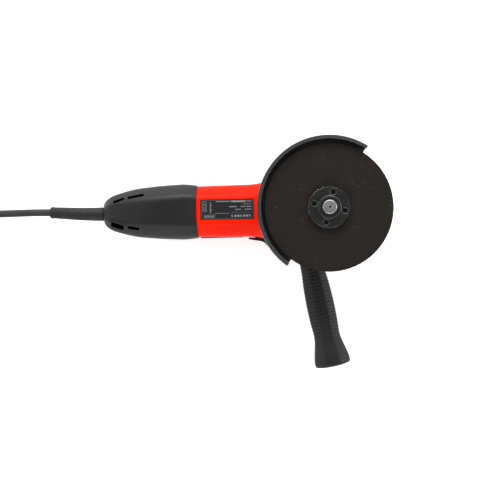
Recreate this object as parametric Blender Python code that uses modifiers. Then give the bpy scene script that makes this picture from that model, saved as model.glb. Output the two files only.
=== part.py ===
"""Corded 125 mm angle grinder, modelled piece by piece and lying on its back.

X runs along the motor towards the gear head, the disc faces +Z and the side
handle points to -Y.  The origin is on the spindle axis in the plane of the
gear case roof, which is also the plane the tool lies on.  Every size below is
in millimetres; meshes and locations are turned into metres by MM.
"""
import math

import bmesh
import bpy
from mathutils import Matrix, Vector

MM = 0.001
GAP = 0.3                    # between pieces that touch or seat on each other
RUN = 0.5                    # around pieces that turn or slide
FLUSH = 1.0                  # how far a cutter stands past the face it opens

# --- armature axis and overall heights -----------------------------------
AXIS_Z = 31.0                # armature axis above the roof plane
CASE_TOP = 54.0              # open face of the gear case
COVER_T = 6.0                # bearing cover plate
NECK_H = 10.5                # neck that carries the guard

# --- disc and its clamping parts ------------------------------------------
DISC_R = 62.5
DISC_T = 2.5
DISC_BORE_R = 11.11
FLANGE_R = 20.5
FLANGE_T = 10.0
FLANGE_ROOM = 1.0            # above the guard's plate
NUT_R = 20.0
NUT_T = 4.9
NUT_BOSS_R = 11.0
NUT_BOSS_H = 3.0
NUT_HOLE_R = 2.5
NUT_HOLE_PCD_R = 15.0
NUT_HOLE_START = 76.0        # degrees
NUT_HOLE_DEPTH = 3.5
THREAD_R = 7.0               # M14 spindle end
SPINDLE_TIP_H = 2.7          # tip above the nut's boss
CENTRE_DRILL_R = 0.9
CENTRE_DRILL_DEPTH = 2.0
PILOT_DROP = 0.6             # flange pilot below the disc's far face
FLANGE_RIM_T = 4.0
FLANGE_FOOT_R = 15.0
NUT_RECESS = 1.2             # under the nut, over the flange pilot
NUT_EDGE = 0.8
BOSS_EDGE = 0.6
THREAD_LEAD = 1.0

# --- spindle, gears and bearings ------------------------------------------
SHOULDER_R = 10.0
BEARING_BORE_R = 6.0         # 6201 ball bearing
BEARING_R = 16.0
BEARING_W = 9.7
BEARING_LID = 2.0            # cover left above the bearing
BALL_R = 1.9
BALLS = 7
CAGE_HALF = (1.0, 0.6)       # across the race, along the axis
GEAR_SEAT_R = 5.5
JOURNAL_R = 3.5
NEEDLE_R = 5.5
NEEDLE_Z = 12.0
NEEDLE_W = 9.0
RING_TEETH = 37
PINION_TEETH = 11
RING_PITCH_R = 19.5
TOOTH_FACE = 6.5
TOOTH_ADDENDUM = 0.80        # in modules
TOOTH_DEDENDUM = 1.15
RING_TOOTH_SHARE = 0.40      # of the pitch, so the pair keeps some backlash
PINION_TOOTH_SHARE = 0.40
GEAR_BACK_Z = 46.5
GEAR_WEB_Z = 36.2
GEAR_RIM_T = 4.0             # from the gear's back down to its rim
GEAR_HUB_WALL = 3.5
PINION_BORE_R = 3.3
PINION_HUB_R = 5.2
PINION_HUB_L = 3.0

# --- spindle lock ----------------------------------------------------------
LOCK_PCD_R = 10.0
LOCK_PIN_R = 2.0
LOCK_HOLE_R = 2.4
LOCK_HEAD_R = 8.0
LOCK_HEAD_BOTTOM = 0.8
LOCK_HEAD_T = 3.2
LOCK_TRAVEL = 5.0
LOCK_PIN_END = 34.2
LOCK_POCKET_DEPTH = 10.5
SPRING_WIRE_R = 0.3
SPRING_R = 2.55
SPRING_TURNS = 4
SPRING_SEAT_Z = 16.0
LOCK_BOSS_WALL = 2.3
LOCK_EDGE = 0.8

# --- gear case and cover ---------------------------------------------------
CASE_R = 31.0
CASE_NECK_HALF = 20.5
CASE_REAR_X = -48.0
CASE_FLANGE_T = 7.0
CAVITY_R = 22.5
ROOF_T = 6.0
ROOF_PAD_R = 15.0
PINION_TUNNEL_R = 10.0
FRONT_BEARING_R = 13.0       # 629 ball bearing
FRONT_BEARING_W = 8.0
FRONT_BEARING_X = -44.0
FRONT_SEAT_R = 4.5
RETAINER_R = (8.5, 12.5)
RETAINER_T = 2.0
SEAL_R = 13.5
SEAL_LIFT = 2.5              # above the bearing
SEAL_T = 3.0
HANDLE_BOSS_L = 16.0
TUNNEL_END_X = -8.0
EXHAUST_LEVELS = (-11.0, 0.0, 11.0)
EXHAUST_HALF = 3.0
EXHAUST_X = (-47.0, -44.0)
EXHAUST_Y = (18.0, 34.0)
NOSE_STEPS = ((0.0, 5.0), (1.2, 2.4), (4.5, 0.0))    # height, inset of the roof's edge
NECK_R = 21.0
NECK_BORE_R = 14.0
COVER_SCREW_R = 2.0
COVER_SCREW_PCD_R = 26.8
COVER_SCREW_CAP_R = 3.0
COVER_SCREW_CAP_T = 2.4
COVER_SCREW_SINK = 0.4       # head below the cover's face
COVER_SCREW_BITE = 10.0      # thread below the case's open face
COVER_EDGE = 1.5
COVER_SCREW_ANGLES = (50.0, 130.0, 230.0, 310.0)
CASE_SCREW_R = 1.7
CASE_SCREW_OFFSET = 24.0     # from the armature axis, along Y and Z
CASE_SCREW_LENGTH = 16.0
CASE_SCREW_CAP_R = 3.1
CASE_SCREW_CAP_T = 3.0
CASE_SCREW_SLOT_HALF = 0.5
CASE_SCREW_SLOT_FLOOR = 1.8

# --- guard -----------------------------------------------------------------
GUARD_ROOM = 7.5             # from the disc's edge to the outside of the rim
GUARD_WALL = 1.8
GUARD_LIP = 3.6
GUARD_PLATE_Z = 71.0
GUARD_TOP_Z = 92.0
GUARD_FROM = 56.6            # degrees, start of the covered sector
GUARD_TO = 233.1
GUARD_COLLAR_WALL = 1.8
GUARD_KNUCKLE = 2.0          # bend between plate and rim
GUARD_LIP_EDGE = 1.0
GUARD_KEEP = 6.0             # plate left round the collar in the open sector
COLLAR_LIFT = 0.6            # collar above the bearing cover
BAND_WALL = 1.6
BAND_ANGLE = -60.0
BAND_EAR = 10.0
BAND_EAR_HALF = 5.0
BAND_SLOT_HALF = 2.0
BAND_BOTTOM = 1.0            # above the collar's end
BAND_ROOM = 1.4              # under the guard's plate
CLAMP_SCREW_R = 2.0
CLAMP_CAP = (3.4, 9.0)       # radius, outer end
CLAMP_NUT = (3.6, 8.5)
CLAMP_GRIP = 5.3             # inner face of cap and nut

# --- motor housing ---------------------------------------------------------
HOUSING_REAR_X = -129.0
HOUSING_FRONT_X = -48.3
BORE_REAR_R = 21.3
STATOR_R = 23.0
STATOR_FLAT = 20.6           # half width across the pole backs
STATOR_BORE_R = 16.0
STATOR_BACK = 1.8            # iron left outside each winding window
COIL_ROOM = 0.5              # between a field coil and the window's sides
STATOR_REAR_X = -108.0
STATOR_LENGTH = 38.0
WINDOW_HALF = 31.0           # degrees to each side of the pole gap
COIL_LEG = 18.0              # degrees from the pole gap's middle
COIL_CORNER = 3.0
COIL_OVERHANG = 3.4
SPIGOT_R = 23.3
SPIGOT_L = 5.5
END_WALL_T = 2.5
SEAT_END_X = -63.8           # where the stator's seat meets the fan chamber
CUP_WALL = 1.6
CUP_LIP = 1.5
AIR_WINDOW_R = 3.0
AIR_WINDOW_PCD_R = 17.3
FAN_R = 24.2
FAN_REAR_X = -57.5
FAN_L = 7.0
FAN_BLADES = 12
FAN_BORE_R = 25.0
FAN_HUB_R = 8.5
FAN_HUB_T = 1.6
FAN_PLATE_T = 1.4
BLADE_HALF = 0.7
BLADE_FROM_R = 12.0
BLADE_LEAN = 0.5             # radians
BAFFLE_REAR_X = -63.5
BAFFLE_T = 2.2
BAFFLE_BORE_R = 15.0
LABEL_SIZE = (53.0, 20.0)
LABEL_CENTRE = (-99.5, 1.0)
LABEL_T = 0.5
LABEL_SINK = 0.6             # below the housing's flat top
LABEL_HEADROOM = 6.0

# --- armature --------------------------------------------------------------
SHAFT_R = 5.0
PINION_SEAT_R = 3.0
PINION_SEAT_X = (-24.0, -12.0)
CORE_R = 15.4
CORE_SLOTS = 10
CORE_SLOT = (8.6, 1.7)       # inner radius, half width
WINDING_BAR = (9.0, 13.2, 1.3)   # inner radius, outer radius, half width
WINDING_R = 13.6
WINDING_NECK_R = 11.0
WINDING_FRONT = (3.6, 5.6)   # shoulder and end, from the core
WINDING_REAR = (3.6, 6.4)
COMMUTATOR_R = 10.5
COMMUTATOR_REAR_X = -126.0
COMMUTATOR_L = 10.5
COMMUTATOR_BARS = 24
RISER_H = 0.9
RISER_T = 1.4
RISER_LEAD = 0.8
REAR_BEARING_R = 9.5         # 607 ball bearing
REAR_BEARING_BORE_R = 3.5
REAR_BEARING_W = 6.0
REAR_BEARING_X = -141.5
BOOT_WALL = 1.8
BRUSH = (5.0, 8.0, 8.6)      # along X, along Y, length
BRUSH_LIFT = 0.4
BRUSH_SHARE = 0.45           # of the commutator's length
HOLDER_WALL = 1.3
HOLDER_LIFT = 0.8            # behind the brush's face
HOLDER_END = 20.0            # from the armature axis

# --- rear cover ------------------------------------------------------------
COVER_WALL = 2.2
SEAM_GAP = 0.3
# station X, half width, half height, corner factor
REAR_STATIONS = (
    (-129.3, 26.3, 28.4, 1.55), (-135.0, 27.2, 29.8, 1.55),
    (-143.0, 27.8, 31.0, 1.55), (-155.0, 27.4, 31.0, 1.54),
    (-167.0, 26.7, 30.4, 1.53), (-178.0, 25.7, 29.4, 1.52),
    (-190.0, 24.4, 27.4, 1.50), (-202.0, 21.8, 24.4, 1.48),
    (-214.7, 18.0, 19.8, 1.46), (-220.8, 14.5, 15.8, 1.44),
    (-224.3, 10.6, 11.6, 1.44),
)
HOUSING_STATIONS = (
    (-129.0, 25.5, 27.5, 1.55), (-100.0, 26.0, 27.5, 1.55),
    (-80.0, 26.3, 27.6, 1.55), (-72.0, 26.6, 28.0, 1.58),
    (-65.0, 27.8, 29.1, 1.65), (-58.0, 29.9, 30.4, 1.75),
    (-52.0, 31.0, 31.0, 1.78), (-48.3, 31.0, 31.0, 1.78),
)
SECTION_POWER = 16.0         # how crisp the eight edges of a section are
SECTION_POINTS = 24
COVER_SCREWS = ((-151.0, 10.0), (-205.0, 18.5))
COVER_SCREW_SHANK_R = 1.6
COVER_SCREW_HEAD_R = 2.9
COVER_SCREW_HEAD_Y = 12.6     # head seat, from the seam
# air slots of each half: start X, end X, Y, half width, lean in degrees
VENTS = {
    1: ((-199.0, -182.0, 16.0, 1.3, 9.0), (-214.0, -202.0, 12.5, 1.3, 17.0)),
    -1: ((-199.5, -187.5, -15.6, 1.4, -10.0), (-217.0, -203.0, -13.1, 2.2, -18.0)),
}
COVER_BOSS_R = 4.0
COVER_BOSS_REACH = 17.0
COVER_SCREW_THREAD_END = 10.5
COVER_SCREW_HEAD_T = 2.4
CORD_HOLE_R = 6.0
VENT_FLOOR = 4.0             # above the armature axis
CLAMP_BLOCK_X = (-213.0, -207.0)
CLAMP_BLOCK_HALF = 9.0
CLAMP_BLOCK_Z = (5.4, 9.5)   # above the armature axis

# --- switch ----------------------------------------------------------------
SLIDE_TRAVEL = 7.0
ROD_OUTER_Y = -23.6
ROD_T = 2.4
ROD_HEIGHT = 7.0
ROD_FRONT_X = -67.0
ROD_REAR_X = -164.5
TRACK_Y = -26.8              # flat track that the slide button runs on
SLIDE_HALF_Z = 9.0
TONGUE_X = (-72.0, -68.0)
TONGUE_HALF = 3.0
TRACK_REAR_X = -82.0
ROD_CHANNEL_Y = -18.0
HOOK_X = 4.0
HOOK_Y = -10.0
BUTTON_BACK_X = -79.0
BUTTON_FRONT_X = -57.0
# side view of the thumb rest, from the front round to the back
BUTTON_OUTLINE = ((-56.6, -33.5), (-57.4, -36.6), (-58.6, -37.0), (-59.8, -35.9),
                  (-63.5, -32.2), (-67.0, -30.9), (-79.0, -28.7))
SWITCH_BOX = ((-194.0, -13.0, 21.0), (-167.0, 9.0, 41.0))

# --- side handle -----------------------------------------------------------
HANDLE_ROOT = (-19.4, -34.0)
HANDLE_TILT = 10.9           # degrees, towards the gear head
HANDLE_LENGTH = 127.0
# distance from the gear head, radius
HANDLE_PROFILE = (
    (0.0, 17.0), (1.5, 19.5), (5.0, 20.0), (7.0, 18.5), (12.0, 13.6), (20.0, 12.6),
    (31.0, 12.9), (42.0, 13.9), (61.0, 14.8), (80.0, 14.6), (95.0, 13.8), (101.0, 14.4),
    (107.0, 15.8), (113.0, 17.3), (119.0, 18.6), (123.5, 18.9), (126.0, 17.6), (127.0, 14.0),
)
STUD_R = 4.0                 # M8
STUD_IN_CASE = 13.0
STUD_IN_GRIP = 22.0
STUD_END_ROOM = 0.6
STUD_EDGE = 0.6
HANDLE_BOSS_R = 11.5

# --- mains cord ------------------------------------------------------------
CORD_R = 3.7
CORD_STEP = 14.0
SLEEVE_STEP = 8.0
SLEEVE_ROUTE = (
    (-224.9, -0.2, 31.0), (-236.0, -0.1, 30.9), (-250.0, 0.5, 30.0),
    (-264.0, 1.4, 28.2), (-280.0, 2.6, 24.6),
)
SLEEVE_R = 7.0
SLEEVE_END_R = 5.7
SLEEVE_NECK_R = 5.0
SLEEVE_NECK_L = 12.0
SLEEVE_COLLAR_R = 8.0
SLEEVE_COLLAR_L = 3.0
CORD_ROUTE = (
    (-280.3, 2.6, 24.5), (-292.0, 2.9, 21.2), (-304.0, 3.1, 17.1),
    (-316.0, 3.1, 12.7), (-328.0, 3.1, 8.6), (-340.0, 3.1, 5.7),
    (-350.0, 3.0, 4.5), (-360.0, 3.0, 4.2), (-373.4, 3.0, 4.2),
)
COIL_CENTRE = (-403.0, -52.5)
COIL_TURN_R = (33.0, 40.5, 48.0, 55.5)
COIL_LOW_Z = 4.3             # middle of the lower layer, clear of the tie
COIL_LAYERS = 2
COIL_PITCH = 7.5
TIE_T = 0.5
COIL_LIFT = 0.1
PLUG_BODY = (17.5, 13.0, 38.0)   # half width, half height, length
PLUG_SLEEVE_R = 5.2
PLUG_SLEEVE_L = 22.0
# from the sleeve's end: distance, half width, half height
PLUG_NECK = ((0.0, 8.0, 7.5), (5.0, 14.0, 11.0), (12.0, 17.5, 13.0))
PLUG_CURVE = 0.7
PLUG_PIN_R = 2.4
PLUG_PIN_L = 19.0
PLUG_PIN_SPACING = 19.0


# ===========================================================================
# helpers
# ===========================================================================
def clear_scene():
    for item in list(bpy.data.objects):
        bpy.data.objects.remove(item, do_unlink=True)


def new_collection(name):
    collection = bpy.data.collections.new(name)
    bpy.context.scene.collection.children.link(collection)
    return collection


clear_scene()
PARTS = new_collection("angle_grinder")
CUTTERS = new_collection("cutters")
MATERIALS = {}


def material(name, colour, roughness, metallic=0.0):
    found = bpy.data.materials.new(name)
    found.use_nodes = True
    shader = found.node_tree.nodes["Principled BSDF"]
    shader.inputs["Base Color"].default_value = (*colour, 1.0)
    shader.inputs["Roughness"].default_value = roughness
    shader.inputs["Metallic"].default_value = metallic
    found.diffuse_color = (*colour, 1.0)
    MATERIALS[name] = found


material("red_plastic", (0.80, 0.045, 0.012), 0.42)
material("black_plastic", (0.035, 0.035, 0.036), 0.55)
material("inner_plastic", (0.10, 0.10, 0.10), 0.6)
material("cast_alloy", (0.06, 0.06, 0.062), 0.5, 0.6)
material("black_steel", (0.03, 0.03, 0.03), 0.45, 0.8)
material("bright_steel", (0.6, 0.6, 0.58), 0.3, 1.0)
material("abrasive", (0.03, 0.025, 0.02), 0.9)
material("lamination", (0.25, 0.25, 0.27), 0.5, 0.8)
material("copper", (0.72, 0.32, 0.14), 0.35, 1.0)
material("carbon", (0.05, 0.05, 0.05), 0.7)
material("brass", (0.75, 0.55, 0.25), 0.35, 1.0)
material("rubber", (0.03, 0.03, 0.03), 0.75)
material("label", (0.02, 0.02, 0.022), 0.4)
material("felt", (0.45, 0.45, 0.42), 0.95)


def pivot(name, location, rotation=(0.0, 0.0, 0.0)):
    """An empty that pieces hang on; location in mm, rotation in degrees."""
    empty = bpy.data.objects.new(name, None)
    empty.empty_display_size = 0.01
    empty.location = Vector(location) * MM
    empty.rotation_euler = [math.radians(a) for a in rotation]
    PARTS.objects.link(empty)
    return empty


def finish(obj, finish_name, parent):
    PARTS.objects.link(obj)
    obj.parent = parent
    obj.data.materials.append(MATERIALS[finish_name])
    return obj


def to_cutter(obj):
    for collection in list(obj.users_collection):
        collection.objects.unlink(obj)
    CUTTERS.objects.link(obj)
    obj.hide_render = True
    obj.display_type = "WIRE"
    return obj


def mesh_from_bmesh(name, bm, smooth_angle=35.0):
    mesh = bpy.data.meshes.new(name)
    bmesh.ops.recalc_face_normals(bm, faces=bm.faces)
    if bm.calc_volume(signed=True) < 0.0:
        bmesh.ops.reverse_faces(bm, faces=bm.faces)
    bm.to_mesh(mesh)
    bm.free()
    mesh.shade_smooth()
    mesh.set_sharp_from_angle(angle=math.radians(smooth_angle))
    return mesh


def turned(name, profile, segments=20):
    """A profile of (radius, height) turned about local Z by a Screw modifier."""
    area = 0.0
    for (r0, z0), (r1, z1) in zip(profile, profile[1:] + profile[:1]):
        area += r0 * z1 - r1 * z0
    points = list(profile) if area < 0.0 else list(reversed(profile))
    open_ends = [i for i, (r, _) in enumerate(points) if r == 0.0]
    mesh = bpy.data.meshes.new(name)
    count = len(points)
    edges = [(i, (i + 1) % count) for i in range(count)]
    if len(open_ends) == 2:
        edges = [e for e in edges if not (e[0] in open_ends and e[1] in open_ends)]
    verts = [(r * MM, 0.0, z * MM) for r, z in points]
    mesh.from_pydata(verts, edges, [])
    obj = bpy.data.objects.new(name, mesh)
    screw = obj.modifiers.new("turn", "SCREW")
    screw.axis = "Z"
    screw.angle = 2.0 * math.pi
    screw.steps = segments
    screw.render_steps = segments
    screw.use_merge_vertices = True
    screw.merge_threshold = 0.00001
    screw.use_smooth_shade = True
    return obj


def box(name, low, high):
    """An axis-aligned box from a primitive cube."""
    bm = bmesh.new()
    bmesh.ops.create_cube(bm, size=1.0)
    size = [(h - l) * MM for l, h in zip(low, high)]
    middle = [(h + l) * 0.5 * MM for l, h in zip(low, high)]
    bmesh.ops.scale(bm, vec=size, verts=bm.verts)
    bmesh.ops.translate(bm, vec=middle, verts=bm.verts)
    return bpy.data.objects.new(name, mesh_from_bmesh(name, bm))


def rod_between(name, start, end, radius, segments=12, end_radius=None):
    """A cylinder or cone from one point to another."""
    start, end = Vector(start), Vector(end)
    run = end - start
    bm = bmesh.new()
    bmesh.ops.create_cone(
        bm, cap_ends=True, segments=segments, radius1=radius * MM,
        radius2=(radius if end_radius is None else end_radius) * MM,
        depth=run.length * MM)
    turn = Vector((0, 0, 1)).rotation_difference(run).to_matrix().to_4x4()
    place = Matrix.Translation((start + end) * 0.5 * MM) @ turn
    bmesh.ops.transform(bm, matrix=place, verts=bm.verts)
    return bpy.data.objects.new(name, mesh_from_bmesh(name, bm))


def prism(name, outline, low, high):
    """A flat outline of (x, y) points pulled up along Z."""
    bm = bmesh.new()
    loop = [bm.verts.new((x * MM, y * MM, low * MM)) for x, y in outline]
    face = bm.faces.new(loop)
    pulled = bmesh.ops.extrude_face_region(bm, geom=[face])
    top = [v for v in pulled["geom"] if isinstance(v, bmesh.types.BMVert)]
    bmesh.ops.translate(bm, vec=(0, 0, (high - low) * MM), verts=top)
    return bpy.data.objects.new(name, mesh_from_bmesh(name, bm))


def loft(name, loops, closed=False):
    """Skin equal loops of points in order; the ends are capped unless closed."""
    bm = bmesh.new()
    rings = [[bm.verts.new(Vector(p) * MM) for p in loop] for loop in loops]
    count = len(rings[0])
    pairs = list(zip(rings, rings[1:]))
    if closed:
        pairs.append((rings[-1], rings[0]))
    for near, far in pairs:
        for i in range(count):
            j = (i + 1) % count
            bm.faces.new((near[i], near[j], far[j], far[i]))
    if not closed:
        bm.faces.new(rings[0])
        bm.faces.new(rings[-1])
    return bpy.data.objects.new(name, mesh_from_bmesh(name, bm))


def boolean(target, other, operation):
    """Apply one exact Boolean with a helper piece, which shares the target's parent."""
    to_cutter(other)
    if other.parent is None:
        other.parent = target.parent
    step = target.modifiers.new(operation.lower(), "BOOLEAN")
    step.operation = operation
    step.solver = "EXACT"
    step.object = other


def cut(target, *others):
    for other in others:
        boolean(target, other, "DIFFERENCE")


def join(target, *others):
    for other in others:
        boolean(target, other, "UNION")


def keep_inside(target, other):
    boolean(target, other, "INTERSECT")


def arc(radius, start, end, steps, centre=(0.0, 0.0)):
    """Points on a circle, angles in degrees, both ends included."""
    points = []
    for i in range(steps + 1):
        angle = math.radians(start + (end - start) * i / steps)
        points.append((centre[0] + radius * math.cos(angle),
                       centre[1] + radius * math.sin(angle)))
    return points


def polar(radius, degrees):
    angle = math.radians(degrees)
    return radius * math.cos(angle), radius * math.sin(angle)


def section(x, half_width, half_height, corner, count=SECTION_POINTS):
    """A soft eight-sided section around the armature axis, across X."""
    points = []
    full = (1.0 + corner ** -SECTION_POWER) ** (1.0 / SECTION_POWER)
    for i in range(count):
        angle = 2.0 * math.pi * (i + 0.5) / count
        y = abs(math.cos(angle)) / half_width
        z = abs(math.sin(angle)) / half_height
        power = y ** SECTION_POWER + z ** SECTION_POWER
        power += ((y + z) / corner) ** SECTION_POWER
        radius = power ** (-1.0 / SECTION_POWER) * full
        points.append((x, radius * math.cos(angle), AXIS_Z + radius * math.sin(angle)))
    return points


def sections(stations, inset=0.0):
    return [section(x, w - inset, h - inset, c) for x, w, h, c in stations]


def smooth_path(points, spacing):
    """Even points on a Catmull-Rom curve through the given points."""
    pts = [Vector(p) for p in points]
    pts = [pts[0] * 2 - pts[1]] + pts + [pts[-1] * 2 - pts[-2]]
    fine = []
    for a, b, c, d in zip(pts, pts[1:], pts[2:], pts[3:]):
        for k in range(20):
            t = k / 20.0
            fine.append(0.5 * ((2 * b) + (c - a) * t + (2 * a - 5 * b + 4 * c - d) * t * t
                               + (3 * b - a - 3 * c + d) * t ** 3))
    fine.append(pts[-2])
    lengths = [0.0]
    for a, b in zip(fine, fine[1:]):
        lengths.append(lengths[-1] + (b - a).length)
    steps = max(2, round(lengths[-1] / spacing))
    path = []
    k = 0
    for i in range(steps + 1):
        want = lengths[-1] * i / steps
        while k < len(lengths) - 2 and lengths[k + 1] < want:
            k += 1
        share = (want - lengths[k]) / (lengths[k + 1] - lengths[k])
        path.append(fine[k].lerp(fine[k + 1], share))
    return path


def wire(name, points, radius, resolution=2, cyclic=False):
    """A bevelled POLY curve along the points."""
    curve = bpy.data.curves.new(name, "CURVE")
    curve.dimensions = "3D"
    curve.bevel_depth = radius * MM
    curve.bevel_resolution = resolution
    curve.use_fill_caps = True
    curve.resolution_u = 1
    curve.render_resolution_u = 0
    spline = curve.splines.new("POLY")
    spline.points.add(len(points) - 1)
    for knot, point in zip(spline.points, points):
        knot.co = (point[0] * MM, point[1] * MM, point[2] * MM, 1.0)
    spline.use_cyclic_u = cyclic
    return bpy.data.objects.new(name, curve)


# ===========================================================================
# stations along the spindle, from the values above
# ===========================================================================
COVER_BASE = CASE_TOP + GAP
COVER_TOP = CASE_TOP + COVER_T
NECK_TOP = COVER_TOP + NECK_H
BEARING_Z = COVER_TOP - BEARING_LID - BEARING_W
SHOULDER_Z = BEARING_Z + BEARING_W + GAP
FLANGE_Z = GUARD_PLATE_Z + GUARD_WALL + FLANGE_ROOM
FLANGE_TOP = FLANGE_Z + FLANGE_T
PILOT_TOP = FLANGE_TOP + GAP + DISC_T - PILOT_DROP
DISC_Z = FLANGE_TOP + GAP
NUT_Z = DISC_Z + DISC_T + GAP
NUT_TOP = NUT_Z + NUT_T
BOSS_TOP = NUT_TOP + NUT_BOSS_H
TIP_Z = BOSS_TOP + SPINDLE_TIP_H
RING_PITCH_ANGLE = math.atan2(RING_TEETH, PINION_TEETH)
CONE_DISTANCE = RING_PITCH_R / math.sin(RING_PITCH_ANGLE)
MODULE = 2.0 * RING_PITCH_R / RING_TEETH
GUARD_R = DISC_R + GUARD_ROOM
RACE_SPLIT_R = (BEARING_BORE_R + BEARING_R) * 0.5
COIL_R = (STATOR_BORE_R + STATOR_R - STATOR_BACK) * 0.5
COIL_WIRE_R = (STATOR_R - STATOR_BACK - STATOR_BORE_R) * 0.5 - COIL_ROOM


# ===========================================================================
# gears
# ===========================================================================
def bevel_teeth(teeth, pitch_angle, distance, share, phase):
    """Tooth outline at one cone distance: four points for each tooth."""
    addendum = math.atan2(TOOTH_ADDENDUM * MODULE, CONE_DISTANCE)
    dedendum = math.atan2(TOOTH_DEDENDUM * MODULE, CONE_DISTANCE)
    root, tip = pitch_angle - dedendum, pitch_angle + addendum
    pitch = 2.0 * math.pi / teeth
    half_root = pitch * share * 0.5 * 1.45
    half_tip = pitch * share * 0.5 * 0.55
    points = []
    for k in range(teeth):
        middle = pitch * (k + phase)
        for cone, turn in ((root, -half_root), (tip, -half_tip),
                           (tip, half_tip), (root, half_root)):
            radius = distance * math.sin(cone)
            points.append((radius * math.cos(middle + turn),
                           radius * math.sin(middle + turn),
                           distance * math.cos(cone)))
    return points


def gear_mesh(name, teeth, inner, outer, rings):
    """Teeth between two cone distances, closed by rings of one point per tooth.

    The rings of (radius, height) run from the front web through the bore and
    over the back to the rim.
    """
    bm = bmesh.new()

    def add(points):
        return [bm.verts.new(Vector(p) * MM) for p in points]

    def ring(radius, height):
        return [(radius * math.cos(2 * math.pi * k / teeth + start),
                 radius * math.sin(2 * math.pi * k / teeth + start), height)
                for k in range(teeth)]

    start = math.atan2(inner[0][1], inner[0][0])
    near, far = add(inner), add(outer)
    rims = [add(ring(*size)) for size in rings]
    total = 4 * teeth
    for i in range(total):
        j = (i + 1) % total
        bm.faces.new((near[i], near[j], far[j]))
        bm.faces.new((near[i], far[j], far[i]))
    for k in range(teeth):
        n = (k + 1) % teeth
        for loop, rim in ((near, rims[0]), (far, rims[-1])):
            for step in range(4):
                first = loop[4 * k + step]
                second = loop[(4 * k + step + 1) % total]
                bm.faces.new((rim[k], first, second))
            bm.faces.new((rim[k], loop[(4 * k + 4) % total], rim[n]))
        for one, two in zip(rims, rims[1:]):
            bm.faces.new((one[k], one[n], two[n], two[k]))
    return bpy.data.objects.new(name, mesh_from_bmesh(name, bm, 25.0))


def lift(points, height):
    return [(x, y, z + height) for x, y, z in points]


def build_drive_gear(spindle_axis):
    inner = CONE_DISTANCE - TOOTH_FACE
    far = lift(bevel_teeth(RING_TEETH, RING_PITCH_ANGLE, CONE_DISTANCE,
                           RING_TOOTH_SHARE, 0.0), AXIS_Z)
    near = lift(bevel_teeth(RING_TEETH, RING_PITCH_ANGLE, inner,
                            RING_TOOTH_SHARE, 0.0), AXIS_Z)
    web_r = inner * math.sin(RING_PITCH_ANGLE) - 0.7
    bore_r, rim_z = GEAR_SEAT_R + GAP, GEAR_BACK_Z - GEAR_RIM_T
    gear = gear_mesh("drive_gear", RING_TEETH, near, far, [
        (web_r, GEAR_WEB_Z), (bore_r, GEAR_WEB_Z), (bore_r, GEAR_BACK_Z),
        (bore_r + GEAR_HUB_WALL, GEAR_BACK_Z), (bore_r + 2 * GEAR_HUB_WALL, rim_z),
        (RING_PITCH_R, rim_z)])
    finish(gear, "black_steel", spindle_axis)
    for k in range(4):
        x, y = polar(LOCK_PCD_R, 90.0 * k)
        cut(gear, rod_between("lock_hole", (x, y, GEAR_WEB_Z - FLUSH),
                              (x, y, GEAR_WEB_Z + LOCK_TRAVEL), LOCK_HOLE_R, 8))


def build_pinion(motor_axis):
    """Stands on the armature axis, whose local Z is the world's X."""
    angle = math.pi / 2 - RING_PITCH_ANGLE
    inner = CONE_DISTANCE - TOOTH_FACE
    near = bevel_teeth(PINION_TEETH, angle, inner, PINION_TOOTH_SHARE, 0.5)
    far = bevel_teeth(PINION_TEETH, angle, CONE_DISTANCE, PINION_TOOTH_SHARE, 0.5)
    near = [(x, y, -z) for x, y, z in near]
    far = [(x, y, -z) for x, y, z in far]
    back = -CONE_DISTANCE * math.cos(angle) - PINION_HUB_L
    front = -inner * math.cos(angle) + RUN
    pinion = gear_mesh("pinion_gear", PINION_TEETH, near, far, [
        (PINION_BORE_R + GAP, front), (PINION_BORE_R, front),
        (PINION_BORE_R, back), (PINION_HUB_R, back)])
    finish(pinion, "black_steel", motor_axis)


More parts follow.
